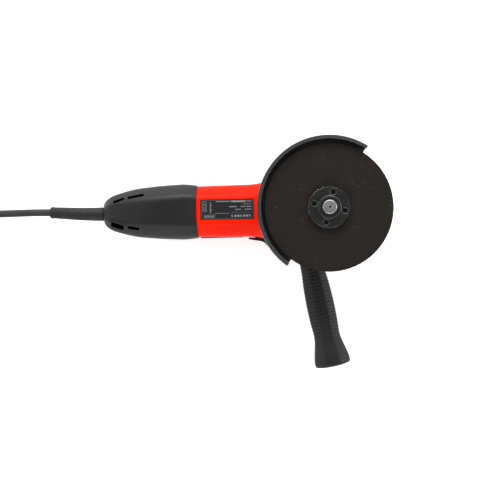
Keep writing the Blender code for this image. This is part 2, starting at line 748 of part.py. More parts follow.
# ===========================================================================
# spindle and disc
# ===========================================================================
def build_spindle_group(spindle_axis):
    journal = NEEDLE_Z + GAP
    spindle = turned("spindle", [
        (0.0, TIP_Z), (THREAD_R - NUT_EDGE, TIP_Z), (THREAD_R, TIP_Z - THREAD_LEAD),
        (THREAD_R, FLANGE_Z - GAP), (SHOULDER_R, FLANGE_Z - GAP),
        (SHOULDER_R, SHOULDER_Z), (BEARING_BORE_R, SHOULDER_Z),
        (BEARING_BORE_R, GEAR_BACK_Z + GAP), (GEAR_SEAT_R, GEAR_BACK_Z + GAP),
        (GEAR_SEAT_R, NEEDLE_Z + NEEDLE_W + RUN),
        (JOURNAL_R, NEEDLE_Z + NEEDLE_W + RUN), (JOURNAL_R, journal), (0.0, journal)])
    finish(spindle, "bright_steel", spindle_axis)
    cut(spindle, rod_between("centre_drill", (0, 0, TIP_Z - CENTRE_DRILL_DEPTH),
                             (0, 0, TIP_Z + FLUSH), CENTRE_DRILL_R, 10))

    build_drive_gear(spindle_axis)

    inner_r = RACE_SPLIT_R - BALL_R - GAP
    bearing_top = BEARING_Z + BEARING_W
    race = turned("spindle_bearing_inner", [
        (BEARING_BORE_R + GAP, bearing_top), (inner_r, bearing_top),
        (inner_r, BEARING_Z), (BEARING_BORE_R + GAP, BEARING_Z)])
    finish(race, "bright_steel", spindle_axis)
    middle = BEARING_Z + BEARING_W * 0.5
    across, along = CAGE_HALF
    cage = turned("spindle_bearing_balls", [
        (RACE_SPLIT_R - across, middle + along), (RACE_SPLIT_R + across, middle + along),
        (RACE_SPLIT_R + across, middle - along), (RACE_SPLIT_R - across, middle - along)],
        3 * BALLS)
    finish(cage, "bright_steel", spindle_axis)
    for k in range(BALLS):
        x, y = polar(RACE_SPLIT_R, 360.0 * k / BALLS)
        bm = bmesh.new()
        bmesh.ops.create_icosphere(bm, subdivisions=1, radius=BALL_R * MM)
        bmesh.ops.translate(bm, vec=Vector((x, y, middle)) * MM, verts=bm.verts)
        join(cage, bpy.data.objects.new("ball", mesh_from_bmesh("ball", bm)))

    inner_flange = turned("inner_flange", [
        (THREAD_R + GAP, PILOT_TOP), (DISC_BORE_R - GAP, PILOT_TOP),
        (DISC_BORE_R - GAP, FLANGE_TOP), (FLANGE_R, FLANGE_TOP),
        (FLANGE_R, FLANGE_TOP - FLANGE_RIM_T), (FLANGE_FOOT_R, FLANGE_Z), (THREAD_R + GAP, FLANGE_Z)])
    finish(inner_flange, "black_steel", spindle_axis)

    disc = turned("abrasive_disc", [
        (DISC_BORE_R, DISC_Z + DISC_T), (DISC_R, DISC_Z + DISC_T),
        (DISC_R, DISC_Z), (DISC_BORE_R, DISC_Z)], 56)
    finish(disc, "abrasive", spindle_axis)

    nut = turned("flange_nut", [
        (THREAD_R + GAP + THREAD_LEAD, BOSS_TOP), (NUT_BOSS_R - BOSS_EDGE, BOSS_TOP),
        (NUT_BOSS_R, BOSS_TOP - BOSS_EDGE), (NUT_BOSS_R, NUT_TOP), (NUT_R - NUT_EDGE, NUT_TOP),
        (NUT_R, NUT_TOP - NUT_EDGE), (NUT_R, NUT_Z), (DISC_BORE_R, NUT_Z),
        (DISC_BORE_R, NUT_Z + NUT_RECESS), (THREAD_R + GAP, NUT_Z + NUT_RECESS),
        (THREAD_R + GAP, BOSS_TOP - THREAD_LEAD)], 20)
    finish(nut, "black_steel", spindle_axis)
    for k in range(4):
        x, y = polar(NUT_HOLE_PCD_R, NUT_HOLE_START + 90.0 * k)
        cut(nut, rod_between("pin_hole", (x, y, NUT_TOP - NUT_HOLE_DEPTH),
                             (x, y, NUT_TOP + FLUSH), NUT_HOLE_R, 10))


# ===========================================================================
# gear case, cover, bearings and lock
# ===========================================================================
def case_outline(inset, rear_x):
    """Plan of the gear head: a round nose that narrows to the motor flange."""
    radius = CASE_R - inset
    nose = arc(radius, -100.0, 100.0, 14)
    shoulder_x = -CASE_R * 0.68
    half = CASE_NECK_HALF - inset
    left = [(shoulder_x, radius * 0.9), (shoulder_x * 1.35, half + 3.0),
            (shoulder_x * 1.7, half), (rear_x, half)]
    right = [(x, -y) for x, y in reversed(left)]
    return nose + left + right


def handle_direction(side):
    """Unit vector of a handle boss; side is -1 for the fitted handle."""
    tilt = math.radians(HANDLE_TILT)
    return Vector((math.sin(tilt), side * math.cos(tilt), 0.0))


def handle_root(side):
    return Vector((HANDLE_ROOT[0], side * abs(HANDLE_ROOT[1]), AXIS_Z))


def build_gear_case():
    loops = [[(x, y, z) for x, y in case_outline(inset, CASE_REAR_X + 3.0)]
             for z, inset in (*NOSE_STEPS, (CASE_TOP, 0.0))]
    case = finish(loft("gear_case", loops), "cast_alloy", None)
    flange = HOUSING_STATIONS[-1]
    join(case, loft("flange", [section(x, *flange[1:])
                               for x in (CASE_REAR_X, CASE_REAR_X + CASE_FLANGE_T)]))
    for side in (-1, 1):
        out = handle_direction(side)
        face = handle_root(side)
        join(case, rod_between("handle_boss", face - out * HANDLE_BOSS_L, face - out * GAP,
                               HANDLE_BOSS_R, 16))
    cut(case, turned("cavity", [
        (0.0, CASE_TOP + FLUSH), (CAVITY_R, CASE_TOP + FLUSH), (CAVITY_R, ROOF_T),
        (ROOF_PAD_R, ROOF_T), (ROOF_PAD_R, NEEDLE_Z + NEEDLE_W), (0.0, NEEDLE_Z + NEEDLE_W)], 28))
    join(case, rod_between("lock_boss", (LOCK_PCD_R, 0, 1.0),
                           (LOCK_PCD_R, 0, LOCK_POCKET_DEPTH + LOCK_BOSS_WALL),
                           LOCK_HEAD_R + LOCK_BOSS_WALL, 16))

    bore_back = FRONT_BEARING_X - GAP
    cut(case,
        rod_between("pinion_tunnel", (bore_back, 0, AXIS_Z), (TUNNEL_END_X, 0, AXIS_Z),
                    PINION_TUNNEL_R, 16),
        rod_between("bearing_bore", (CASE_REAR_X - FLUSH, 0, AXIS_Z),
                    (FRONT_BEARING_X + FRONT_BEARING_W + GAP, 0, AXIS_Z),
                    FRONT_BEARING_R + GAP, 20),
        rod_between("air_recess", (CASE_REAR_X - FLUSH, 0, AXIS_Z), (bore_back + RUN, 0, AXIS_Z),
                    FAN_BORE_R - 1.0, 24))
    for side in (-1, 1):
        near, far = sorted((side * EXHAUST_Y[0], side * EXHAUST_Y[1]))
        for level in EXHAUST_LEVELS:
            cut(case, box("exhaust", (EXHAUST_X[0], near, AXIS_Z + level - EXHAUST_HALF),
                          (EXHAUST_X[1], far, AXIS_Z + level + EXHAUST_HALF)))
        out = handle_direction(side)
        face = handle_root(side)
        cut(case, rod_between("stud_hole", face - out * (STUD_IN_CASE + FLUSH),
                              face + out * FLUSH, STUD_R + GAP, 12))
    needle_hole = rod_between("needle_hole", (0, 0, NEEDLE_Z - GAP),
                              (0, 0, NEEDLE_Z + NEEDLE_W + FLUSH), NEEDLE_R + GAP, 20)
    pin_x = LOCK_PCD_R
    cut(case, needle_hole,
        rod_between("button_pocket", (pin_x, 0, -FLUSH), (pin_x, 0, LOCK_POCKET_DEPTH),
                    LOCK_HEAD_R + RUN, 20),
        rod_between("spring_pocket", (pin_x, 0, LOCK_POCKET_DEPTH - FLUSH),
                    (pin_x, 0, SPRING_SEAT_Z + GAP), SPRING_R + SPRING_WIRE_R + GAP, 12),
        rod_between("pin_hole", (pin_x, 0, 0), (pin_x, 0, NEEDLE_Z + NEEDLE_W + FLUSH),
                    LOCK_PIN_R + GAP, 12))
    for angle in COVER_SCREW_ANGLES:
        x, y = polar(COVER_SCREW_PCD_R, angle)
        cut(case, rod_between("screw_hole", (x, y, CASE_TOP - COVER_SCREW_BITE - FLUSH),
                              (x, y, CASE_TOP + FLUSH),
                              COVER_SCREW_R + GAP, 8))
    for y, z in case_screw_places():
        cut(case, rod_between("screw_hole", (CASE_REAR_X - FLUSH, y, z),
                              (CASE_REAR_X + CASE_FLANGE_T + FLUSH, y, z),
                              CASE_SCREW_R + GAP, 8))


def case_screw_places():
    return [(sy * CASE_SCREW_OFFSET, AXIS_Z + sz * CASE_SCREW_OFFSET)
            for sy in (-1, 1) for sz in (-1, 1)]


def build_bearing_cover():
    loops = [[(x, y, z) for x, y in case_outline(inset, CASE_REAR_X + CASE_FLANGE_T + GAP)]
             for z, inset in ((COVER_BASE, 0.0), (COVER_TOP - COVER_EDGE, 0.0),
                              (COVER_TOP, COVER_EDGE))]
    cover = finish(loft("bearing_cover", loops), "cast_alloy", None)
    spigot_z = BEARING_Z - GAP
    join(cover,
         rod_between("spigot", (0, 0, spigot_z), (0, 0, COVER_BASE + 1.0), CAVITY_R - GAP, 28),
         rod_between("neck", (0, 0, COVER_TOP - 1.0), (0, 0, NECK_TOP), NECK_R, 48))
    cut(cover, turned("bores", [
        (0.0, NECK_TOP + FLUSH), (NECK_BORE_R, NECK_TOP + FLUSH),
        (NECK_BORE_R, BEARING_Z + BEARING_W + GAP), (BEARING_R + GAP, BEARING_Z + BEARING_W + GAP),
        (BEARING_R + GAP, spigot_z - FLUSH), (0.0, spigot_z - FLUSH)], 20))
    for angle in COVER_SCREW_ANGLES:
        x, y = polar(COVER_SCREW_PCD_R, angle)
        floor = COVER_TOP - COVER_SCREW_SINK - COVER_SCREW_CAP_T - RUN
        cut(cover, turned_at("screw_hole", [
            (0.0, COVER_TOP + FLUSH), (COVER_SCREW_CAP_R + GAP, COVER_TOP + FLUSH),
            (COVER_SCREW_CAP_R + GAP, floor), (COVER_SCREW_R + GAP, floor),
            (COVER_SCREW_R + GAP, spigot_z - FLUSH), (0.0, spigot_z - FLUSH)], 10, (x, y, 0.0)))


def turned_at(name, profile, segments, place, rotation=(0.0, 0.0, 0.0)):
    piece = turned(name, profile, segments)
    piece.location = Vector(place) * MM
    piece.rotation_euler = [math.radians(a) for a in rotation]
    return piece


def build_head_fittings(spindle_axis):
    needle = turned("needle_bearing", [
        (JOURNAL_R + GAP, NEEDLE_Z + NEEDLE_W), (NEEDLE_R, NEEDLE_Z + NEEDLE_W),
        (NEEDLE_R, NEEDLE_Z), (JOURNAL_R + GAP, NEEDLE_Z)], 20)
    finish(needle, "bright_steel", spindle_axis)
    split = RACE_SPLIT_R + BALL_R + GAP
    outer = turned("spindle_bearing_outer", [
        (split, BEARING_Z + BEARING_W), (BEARING_R, BEARING_Z + BEARING_W),
        (BEARING_R, BEARING_Z), (split, BEARING_Z)])
    finish(outer, "bright_steel", spindle_axis)
    seal_z = BEARING_Z + BEARING_W + SEAL_LIFT
    seal = turned("dust_seal", [
        (SHOULDER_R + GAP, seal_z + SEAL_T), (SEAL_R, seal_z + SEAL_T),
        (SEAL_R, seal_z), (SHOULDER_R + GAP, seal_z)])
    finish(seal, "felt", spindle_axis)
    for k, angle in enumerate(COVER_SCREW_ANGLES):
        x, y = polar(COVER_SCREW_PCD_R, angle)
        top = COVER_TOP - COVER_SCREW_SINK
        under = top - COVER_SCREW_CAP_T
        end = CASE_TOP - COVER_SCREW_BITE
        screw = turned_at("cover_screw_%d" % (k + 1), [
            (0.0, top), (COVER_SCREW_CAP_R, top), (COVER_SCREW_CAP_R, under),
            (COVER_SCREW_R, under), (COVER_SCREW_R, end), (0.0, end)], 10, (x, y, 0.0))
        finish(screw, "black_steel", None)
    flange_front = CASE_REAR_X + CASE_FLANGE_T
    for k, (y, z) in enumerate(case_screw_places()):
        head = flange_front + GAP
        screw = turned_at("gear_case_screw_%d" % (k + 1), [
            (0.0, CASE_SCREW_CAP_T), (CASE_SCREW_CAP_R - BOSS_EDGE, CASE_SCREW_CAP_T),
            (CASE_SCREW_CAP_R, CASE_SCREW_CAP_T - BOSS_EDGE), (CASE_SCREW_CAP_R, 0.0),
            (CASE_SCREW_R, 0.0), (CASE_SCREW_R, -CASE_SCREW_LENGTH), (0.0, -CASE_SCREW_LENGTH)],
            10, (head, y, z), (0.0, 90.0, 0.0))
        finish(screw, "black_steel", None)
        cut(screw, box("slot", (head + CASE_SCREW_SLOT_FLOOR, y - CASE_SCREW_SLOT_HALF,
                                z - CASE_SCREW_CAP_R - FLUSH),
                       (head + CASE_SCREW_CAP_T + FLUSH, y + CASE_SCREW_SLOT_HALF,
                        z + CASE_SCREW_CAP_R + FLUSH)))


def build_spindle_lock():
    lock_axis = pivot("lock_axis", (LOCK_PCD_R, 0.0, 0.0))
    head_top = LOCK_HEAD_BOTTOM + LOCK_HEAD_T
    button = turned("lock_button", [
        (0.0, LOCK_PIN_END), (LOCK_PIN_R, LOCK_PIN_END), (LOCK_PIN_R, head_top),
        (LOCK_HEAD_R, head_top), (LOCK_HEAD_R, LOCK_HEAD_BOTTOM + LOCK_EDGE),
        (LOCK_HEAD_R - LOCK_EDGE, LOCK_HEAD_BOTTOM), (0.0, LOCK_HEAD_BOTTOM)], 20)
    finish(button, "black_plastic", lock_axis)
    low, high = head_top + GAP + SPRING_WIRE_R, SPRING_SEAT_Z - SPRING_WIRE_R
    steps = SPRING_TURNS * 8
    points = []
    for i in range(steps + 1):
        angle = 2.0 * math.pi * SPRING_TURNS * i / steps
        points.append((SPRING_R * math.cos(angle), SPRING_R * math.sin(angle),
                       low + (high - low) * i / steps))
    finish(wire("lock_spring", points, SPRING_WIRE_R, 2), "bright_steel", lock_axis)


# ===========================================================================
# guard
# ===========================================================================
def build_guard():
    guard_axis = pivot("guard_axis", (0.0, 0.0, 0.0))
    collar_in = NECK_R + GAP
    collar_out = collar_in + GUARD_COLLAR_WALL
    collar_z = COVER_TOP + COLLAR_LIFT
    plate_top = GUARD_PLATE_Z + GUARD_WALL
    rim_in = GUARD_R - GUARD_WALL
    guard = turned("wheel_guard", [
        (collar_in, plate_top), (rim_in, plate_top), (rim_in, GUARD_TOP_Z - GUARD_WALL),
        (GUARD_R - GUARD_LIP, GUARD_TOP_Z - GUARD_WALL), (GUARD_R - GUARD_LIP, GUARD_TOP_Z),
        (GUARD_R - GUARD_LIP_EDGE, GUARD_TOP_Z), (GUARD_R, GUARD_TOP_Z - GUARD_LIP_EDGE),
        (GUARD_R, GUARD_PLATE_Z + GUARD_KNUCKLE), (GUARD_R - GUARD_KNUCKLE, GUARD_PLATE_Z),
        (collar_out, GUARD_PLATE_Z), (collar_out, collar_z), (collar_in, collar_z)], 48)
    finish(guard, "black_steel", guard_axis)
    keep_r = collar_out + GUARD_KEEP
    wedge = arc(GUARD_R + GUARD_ROOM, GUARD_TO, GUARD_FROM + 360.0, 24)
    wedge += arc(keep_r, GUARD_FROM + 360.0, GUARD_TO, 16)
    cut(guard, prism("open_sector", wedge, collar_z - FLUSH, GUARD_TOP_Z + FLUSH))

    band_in = collar_out + GAP
    band_out = band_in + BAND_WALL
    low, high = collar_z + BAND_BOTTOM, GUARD_PLATE_Z - BAND_ROOM
    band = turned("guard_clamp_band", [
        (band_in, high), (band_out, high), (band_out, low), (band_in, low)], 32)
    finish(band, "bright_steel", guard_axis)
    turn = Matrix.Rotation(math.radians(BAND_ANGLE), 4, "Z")
    ears = box("ears", (band_out - FLUSH, -BAND_EAR_HALF, low),
               (band_out + BAND_EAR, BAND_EAR_HALF, high))
    slot = box("slot", (band_in - FLUSH, -BAND_SLOT_HALF, low - FLUSH),
               (band_out + BAND_EAR + FLUSH, BAND_SLOT_HALF, high + FLUSH))
    middle = (low + high) * 0.5
    screw_x = band_out + BAND_EAR * 0.55
    hole = rod_between("hole", (screw_x, -BAND_EAR, middle), (screw_x, BAND_EAR, middle),
                       CLAMP_SCREW_R + GAP, 10)
    for piece in (ears, slot, hole):
        piece.data.transform(turn)
    join(band, ears)
    cut(band, slot, hole)
    screw = turned("guard_clamp_screw", [
        (0.0, CLAMP_CAP[1]), CLAMP_CAP, (CLAMP_CAP[0], CLAMP_GRIP), (CLAMP_SCREW_R, CLAMP_GRIP),
        (CLAMP_SCREW_R, -CLAMP_GRIP), (CLAMP_NUT[0], -CLAMP_GRIP),
        (CLAMP_NUT[0], -CLAMP_NUT[1]), (0.0, -CLAMP_NUT[1])], 12)
    place = turn @ Matrix.Translation(Vector((screw_x, 0.0, middle)) * MM)
    screw.matrix_local = place @ Matrix.Rotation(math.radians(90.0), 4, "X")
    finish(screw, "black_steel", guard_axis)


# ===========================================================================
# motor
# ===========================================================================
def build_motor_housing():
    housing = finish(loft("motor_housing", sections(HOUSING_STATIONS)), "red_plastic", None)
    spigot_end = HOUSING_REAR_X - SPIGOT_L
    cup_end = REAR_BEARING_X - CUP_LIP
    join(housing, rod_between("spigot", (spigot_end, 0, AXIS_Z),
                              (HOUSING_REAR_X + FLUSH, 0, AXIS_Z), SPIGOT_R, 28))
    cut(housing, rod_between("rear_bore", (spigot_end - FLUSH, 0, AXIS_Z),
                             (STATOR_REAR_X, 0, AXIS_Z), BORE_REAR_R, 28))
    seat = rod_between("seat", (STATOR_REAR_X - FLUSH, 0, AXIS_Z), (SEAT_END_X, 0, AXIS_Z),
                       STATOR_R + GAP, 28)
    flat = STATOR_FLAT + GAP
    keep_inside(seat, box("slab", (HOUSING_REAR_X, -flat, AXIS_Z - FAN_BORE_R),
                          (HOUSING_FRONT_X, flat, AXIS_Z + FAN_BORE_R)))
    cut(housing, seat,
        rod_between("fan_bore", (SEAT_END_X, 0, AXIS_Z), (HOUSING_FRONT_X + FLUSH, 0, AXIS_Z),
                    FAN_BORE_R, 28))
    wall = rod_between("end_wall", (spigot_end, 0, AXIS_Z),
                       (spigot_end + END_WALL_T, 0, AXIS_Z), BORE_REAR_R + FLUSH, 28)
    boot_bore_r = REAR_BEARING_R + BOOT_WALL + 2 * GAP
    cup = rod_between("cup", (cup_end, 0, AXIS_Z), (spigot_end + FLUSH, 0, AXIS_Z),
                      boot_bore_r + CUP_WALL, 20)
    join(housing, wall, cup)
    cut(housing,
        rod_between("boot_bore", (REAR_BEARING_X - GAP, 0, AXIS_Z),
                    (spigot_end + END_WALL_T + FLUSH, 0, AXIS_Z), boot_bore_r, 20),
        rod_between("cup_opening", (cup_end - FLUSH, 0, AXIS_Z),
                    (REAR_BEARING_X + FLUSH, 0, AXIS_Z), REAR_BEARING_R - CUP_LIP, 16))
    for k in range(4):
        y, z = polar(AIR_WINDOW_PCD_R, 45.0 + 90.0 * k)
        cut(housing, rod_between("air_window", (spigot_end - FLUSH, y, AXIS_Z + z),
                                 (spigot_end + END_WALL_T + FLUSH, y, AXIS_Z + z),
                                 AIR_WINDOW_R, 8))
    half_rod = ROD_HEIGHT * 0.5 + RUN
    travel_room = TONGUE_X[1] + SLIDE_TRAVEL + GAP
    cut(housing,
        box("rod_channel", (spigot_end - FLUSH, ROD_OUTER_Y - GAP, AXIS_Z - half_rod),
            (ROD_FRONT_X + SLIDE_TRAVEL + FLUSH, ROD_CHANNEL_Y, AXIS_Z + half_rod)),
        box("slide_track", (TRACK_REAR_X, TRACK_Y - SLIDE_HALF_Z, AXIS_Z - SLIDE_HALF_Z - RUN),
            (HOUSING_FRONT_X + FLUSH, TRACK_Y, AXIS_Z + SLIDE_HALF_Z + RUN)),
        box("tongue_window", (TONGUE_X[0] - GAP, TRACK_Y - FLUSH, AXIS_Z - TONGUE_HALF - RUN),
            (travel_room, ROD_OUTER_Y + FLUSH, AXIS_Z + TONGUE_HALF + RUN)))
    label_floor = label_height()
    cut(housing, box("label_pocket",
                     (LABEL_CENTRE[0] - LABEL_SIZE[0] / 2 - GAP,
                      LABEL_CENTRE[1] - LABEL_SIZE[1] / 2 - GAP, label_floor - GAP),
                     (LABEL_CENTRE[0] + LABEL_SIZE[0] / 2 + GAP,
                      LABEL_CENTRE[1] + LABEL_SIZE[1] / 2 + GAP, label_floor + LABEL_HEADROOM)))
    screw_end = CASE_REAR_X + CASE_FLANGE_T + GAP - CASE_SCREW_LENGTH
    for y, z in case_screw_places():
        cut(housing, rod_between("screw_hole", (screw_end - FLUSH, y, z),
                                 (HOUSING_FRONT_X + FLUSH, y, z), CASE_SCREW_R + GAP, 8))


def label_height():
    """Underside of the rating label, sunk into the housing's flat top."""
    return AXIS_Z + HOUSING_STATIONS[0][2] - LABEL_T - LABEL_SINK


def build_rating_label():
    z = label_height()
    (length, width), (x, y) = LABEL_SIZE, LABEL_CENTRE
    label = box("rating_label", (x - length / 2, y - width / 2, z),
                (x + length / 2, y + width / 2, z + LABEL_T))
    finish(label, "label", None)


def coil_path(side):
    """A field coil's saddle loop: two legs in the windows, arcs round the pole."""
    radius, corner = COIL_R, COIL_CORNER
    front = STATOR_REAR_X + STATOR_LENGTH + COIL_OVERHANG
    back = STATOR_REAR_X - COIL_OVERHANG
    start = math.radians(90.0 - COIL_LEG)
    end = -start
    flat = []
    for cx, way in ((front, 1), (back, -1)):
        inner_x = cx - way * corner
        ends = (way * start, way * end)
        turn = way * corner / radius
        for k in range(4):
            a = math.radians(90.0 * k / 3)
            shift = way * corner * math.sin(a)
            flat.append((inner_x + shift, ends[0] - turn * (1 - math.cos(a))))
        for k in range(1, 6):
            share = k / 6.0
            near, far = ends[0] - turn, ends[1] + turn
            flat.append((cx, near + (far - near) * share))
        for k in range(4):
            a = math.radians(90.0 - 90.0 * k / 3)
            shift = way * corner * math.sin(a)
            flat.append((inner_x + shift, ends[1] + turn * (1 - math.cos(a))))
    return [(x, side * radius * math.cos(t), AXIS_Z + radius * math.sin(t)) for x, t in flat]


def build_stator():
    front = STATOR_REAR_X + STATOR_LENGTH
    axis = AXIS_Z
    core = rod_between("stator_core", (STATOR_REAR_X, 0, axis), (front, 0, axis), STATOR_R, 28)
    finish(core, "lamination", None)
    keep_inside(core, box("slab", (STATOR_REAR_X - FLUSH, -STATOR_FLAT, axis - STATOR_R - FLUSH),
                          (front + FLUSH, STATOR_FLAT, axis + STATOR_R + FLUSH)))
    cut(core, rod_between("bore", (STATOR_REAR_X - FLUSH, 0, axis), (front + FLUSH, 0, axis),
                          STATOR_BORE_R, 28))
    for side in (90.0, 270.0):
        low, high = side - WINDOW_HALF, side + WINDOW_HALF
        window = arc(STATOR_R - STATOR_BACK, low, high, 8)
        window += arc(STATOR_BORE_R - FLUSH, high, low, 8)
        piece = prism("window", window, STATOR_REAR_X - FLUSH, front + FLUSH)
        piece.data.transform(Matrix.Translation((0, 0, axis * MM))
                             @ Matrix.Rotation(math.radians(90.0), 4, "Y")
                             @ Matrix.Rotation(math.radians(90.0), 4, "Z"))
        cut(core, piece)
    for name, side in (("field_coil_left", -1), ("field_coil_right", 1)):
        finish(wire(name, coil_path(side), COIL_WIRE_R, 2, cyclic=True), "copper", None)


def build_armature(motor_axis):
    """Turned about the armature axis: heights here are the world's X."""
    rear_seat = REAR_BEARING_X + REAR_BEARING_W
    back, tip = PINION_SEAT_X
    shaft = turned("armature_shaft", [
        (0.0, tip), (PINION_SEAT_R - RUN, tip), (PINION_SEAT_R, tip - RUN),
        (PINION_SEAT_R, back), (FRONT_SEAT_R, back),
        (FRONT_SEAT_R, FRONT_BEARING_X - GAP), (SHAFT_R, FRONT_BEARING_X - GAP),
        (SHAFT_R, rear_seat + GAP), (REAR_BEARING_BORE_R, rear_seat + GAP),
        (REAR_BEARING_BORE_R, REAR_BEARING_X - GAP), (0.0, REAR_BEARING_X - GAP)], 16)
    finish(shaft, "bright_steel", motor_axis)

    core_front = STATOR_REAR_X + STATOR_LENGTH
    core = turned("armature_core", [
        (SHAFT_R + GAP, core_front), (CORE_R, core_front), (CORE_R, STATOR_REAR_X),
        (SHAFT_R + GAP, STATOR_REAR_X)], 24)
    finish(core, "lamination", motor_axis)
    shoulder, end = WINDING_FRONT
    winding = turned("armature_winding", [
        (SHAFT_R + GAP, core_front + end), (WINDING_NECK_R, core_front + end),
        (WINDING_R, core_front + shoulder), (WINDING_R, core_front + GAP),
        (SHAFT_R + GAP, core_front + GAP)], 20)
    finish(winding, "copper", motor_axis)
    shoulder, end = WINDING_REAR
    join(winding, turned("rear_ends", [
        (SHAFT_R + GAP, STATOR_REAR_X - GAP), (WINDING_R, STATOR_REAR_X - GAP),
        (WINDING_R, STATOR_REAR_X - shoulder), (WINDING_NECK_R, STATOR_REAR_X - end),
        (SHAFT_R + GAP, STATOR_REAR_X - end)], 20))
    slot_r, slot_half = CORE_SLOT
    bar_in, bar_out, bar_half = WINDING_BAR
    for k in range(CORE_SLOTS):
        turn = Matrix.Rotation(2.0 * math.pi * k / CORE_SLOTS, 4, "Z")
        slot = box("slot", (slot_r, -slot_half, STATOR_REAR_X - FLUSH),
                   (CORE_R + FLUSH, slot_half, core_front + FLUSH))
        bar = box("bar", (bar_in, -bar_half, STATOR_REAR_X - 2 * FLUSH),
                  (bar_out, bar_half, core_front + 2 * FLUSH))
        slot.data.transform(turn)
        bar.data.transform(turn)
        cut(core, slot)
        join(winding, bar)

    front = COMMUTATOR_REAR_X + COMMUTATOR_L
    riser_r, riser_end = COMMUTATOR_R + RISER_H, front + RISER_LEAD
    commutator = turned("commutator", [
        (SHAFT_R + GAP, riser_end), (riser_r, riser_end), (riser_r, riser_end - RISER_T),
        (COMMUTATOR_R, riser_end - RISER_T), (COMMUTATOR_R, COMMUTATOR_REAR_X),
        (SHAFT_R + GAP, COMMUTATOR_REAR_X)], COMMUTATOR_BARS)
    finish(commutator, "copper", motor_axis)

    fan_front = FAN_REAR_X + FAN_L
    plate_front = fan_front - FAN_HUB_T
    plate_back = plate_front - FAN_PLATE_T
    fan = turned("cooling_fan", [
        (SHAFT_R + GAP, fan_front), (FAN_HUB_R, fan_front), (FAN_HUB_R, plate_front),
        (FAN_R, plate_front), (FAN_R, plate_back), (FAN_HUB_R + FLUSH, plate_back),
        (FAN_HUB_R, FAN_REAR_X), (SHAFT_R + GAP, FAN_REAR_X)], 24)
    finish(fan, "inner_plastic", motor_axis)
    for k in range(FAN_BLADES):
        blade = box("blade", (BLADE_FROM_R, -BLADE_HALF, FAN_REAR_X),
                    (FAN_R - GAP, BLADE_HALF, plate_front - BLADE_HALF))
        heart = Matrix.Translation(Vector(((BLADE_FROM_R + FAN_R) * 0.5, 0, 0)) * MM)
        lean = heart @ Matrix.Rotation(BLADE_LEAN, 4, "Z") @ heart.inverted()
        blade.data.transform(Matrix.Rotation(2.0 * math.pi * k / FAN_BLADES, 4, "Z") @ lean)
        join(fan, blade)
    build_pinion(motor_axis)


def build_motor_fittings(motor_axis):
    front_end = FRONT_BEARING_X + FRONT_BEARING_W
    front_bearing = turned("armature_front_bearing", [
        (FRONT_SEAT_R + GAP, front_end), (FRONT_BEARING_R, front_end),
        (FRONT_BEARING_R, FRONT_BEARING_X), (FRONT_SEAT_R + GAP, FRONT_BEARING_X)], 20)
    finish(front_bearing, "bright_steel", motor_axis)
    plate_x = FRONT_BEARING_X - GAP
    ring_in, ring_out = RETAINER_R
    retainer = turned("bearing_retainer", [
        (ring_in, plate_x), (ring_out, plate_x), (ring_out, plate_x - RETAINER_T),
        (ring_in, plate_x - RETAINER_T)], 20)
    finish(retainer, "bright_steel", motor_axis)
    rear_end = REAR_BEARING_X + REAR_BEARING_W
    rear_bearing = turned("armature_rear_bearing", [
        (REAR_BEARING_BORE_R + GAP, rear_end), (REAR_BEARING_R, rear_end),
        (REAR_BEARING_R, REAR_BEARING_X), (REAR_BEARING_BORE_R + GAP, REAR_BEARING_X)], 24)
    finish(rear_bearing, "bright_steel", motor_axis)
    boot_in = REAR_BEARING_R + GAP
    boot = turned("bearing_boot", [
        (boot_in, rear_end + RUN), (boot_in + BOOT_WALL, rear_end + RUN),
        (boot_in + BOOT_WALL, REAR_BEARING_X), (boot_in, REAR_BEARING_X)], 24)
    finish(boot, "rubber", motor_axis)
    baffle = turned("air_baffle", [
        (BAFFLE_BORE_R, BAFFLE_REAR_X + BAFFLE_T), (FAN_BORE_R - GAP, BAFFLE_REAR_X + BAFFLE_T),
        (FAN_BORE_R - GAP, BAFFLE_REAR_X), (BAFFLE_BORE_R, BAFFLE_REAR_X)], 28)
    finish(baffle, "inner_plastic", motor_axis)
    half_rod = ROD_HEIGHT * 0.5 + RUN
    notch = box("notch", (-half_rod, -FAN_BORE_R - FLUSH, BAFFLE_REAR_X - FLUSH),
                (half_rod, ROD_OUTER_Y + ROD_T + RUN, BAFFLE_REAR_X + BAFFLE_T + FLUSH))
    cut(baffle, notch)

    x = COMMUTATOR_REAR_X + COMMUTATOR_L * BRUSH_SHARE
    long, wide, tall = BRUSH
    room_x, room_y = long / 2 + GAP, wide / 2 + GAP
    near = COMMUTATOR_R + BRUSH_LIFT
    for name, side in (("upper", 1), ("lower", -1)):
        low, high = sorted((side * (near + HOLDER_LIFT), side * HOLDER_END))
        holder = box("brush_holder_" + name,
                     (x - room_x - HOLDER_WALL, -room_y - HOLDER_WALL, AXIS_Z + low),
                     (x + room_x + HOLDER_WALL, room_y + HOLDER_WALL, AXIS_Z + high))
        finish(holder, "brass", None)
        cut(holder, box("slide", (x - room_x, -room_y, AXIS_Z + low - FLUSH),
                        (x + room_x, room_y, AXIS_Z + high + FLUSH)))
        low, high = sorted((side * near, side * (near + tall)))
        brush = box("carbon_brush_" + name, (x - long / 2, -wide / 2, AXIS_Z + low),
                    (x + long / 2, wide / 2, AXIS_Z + high))
        finish(brush, "carbon", None)


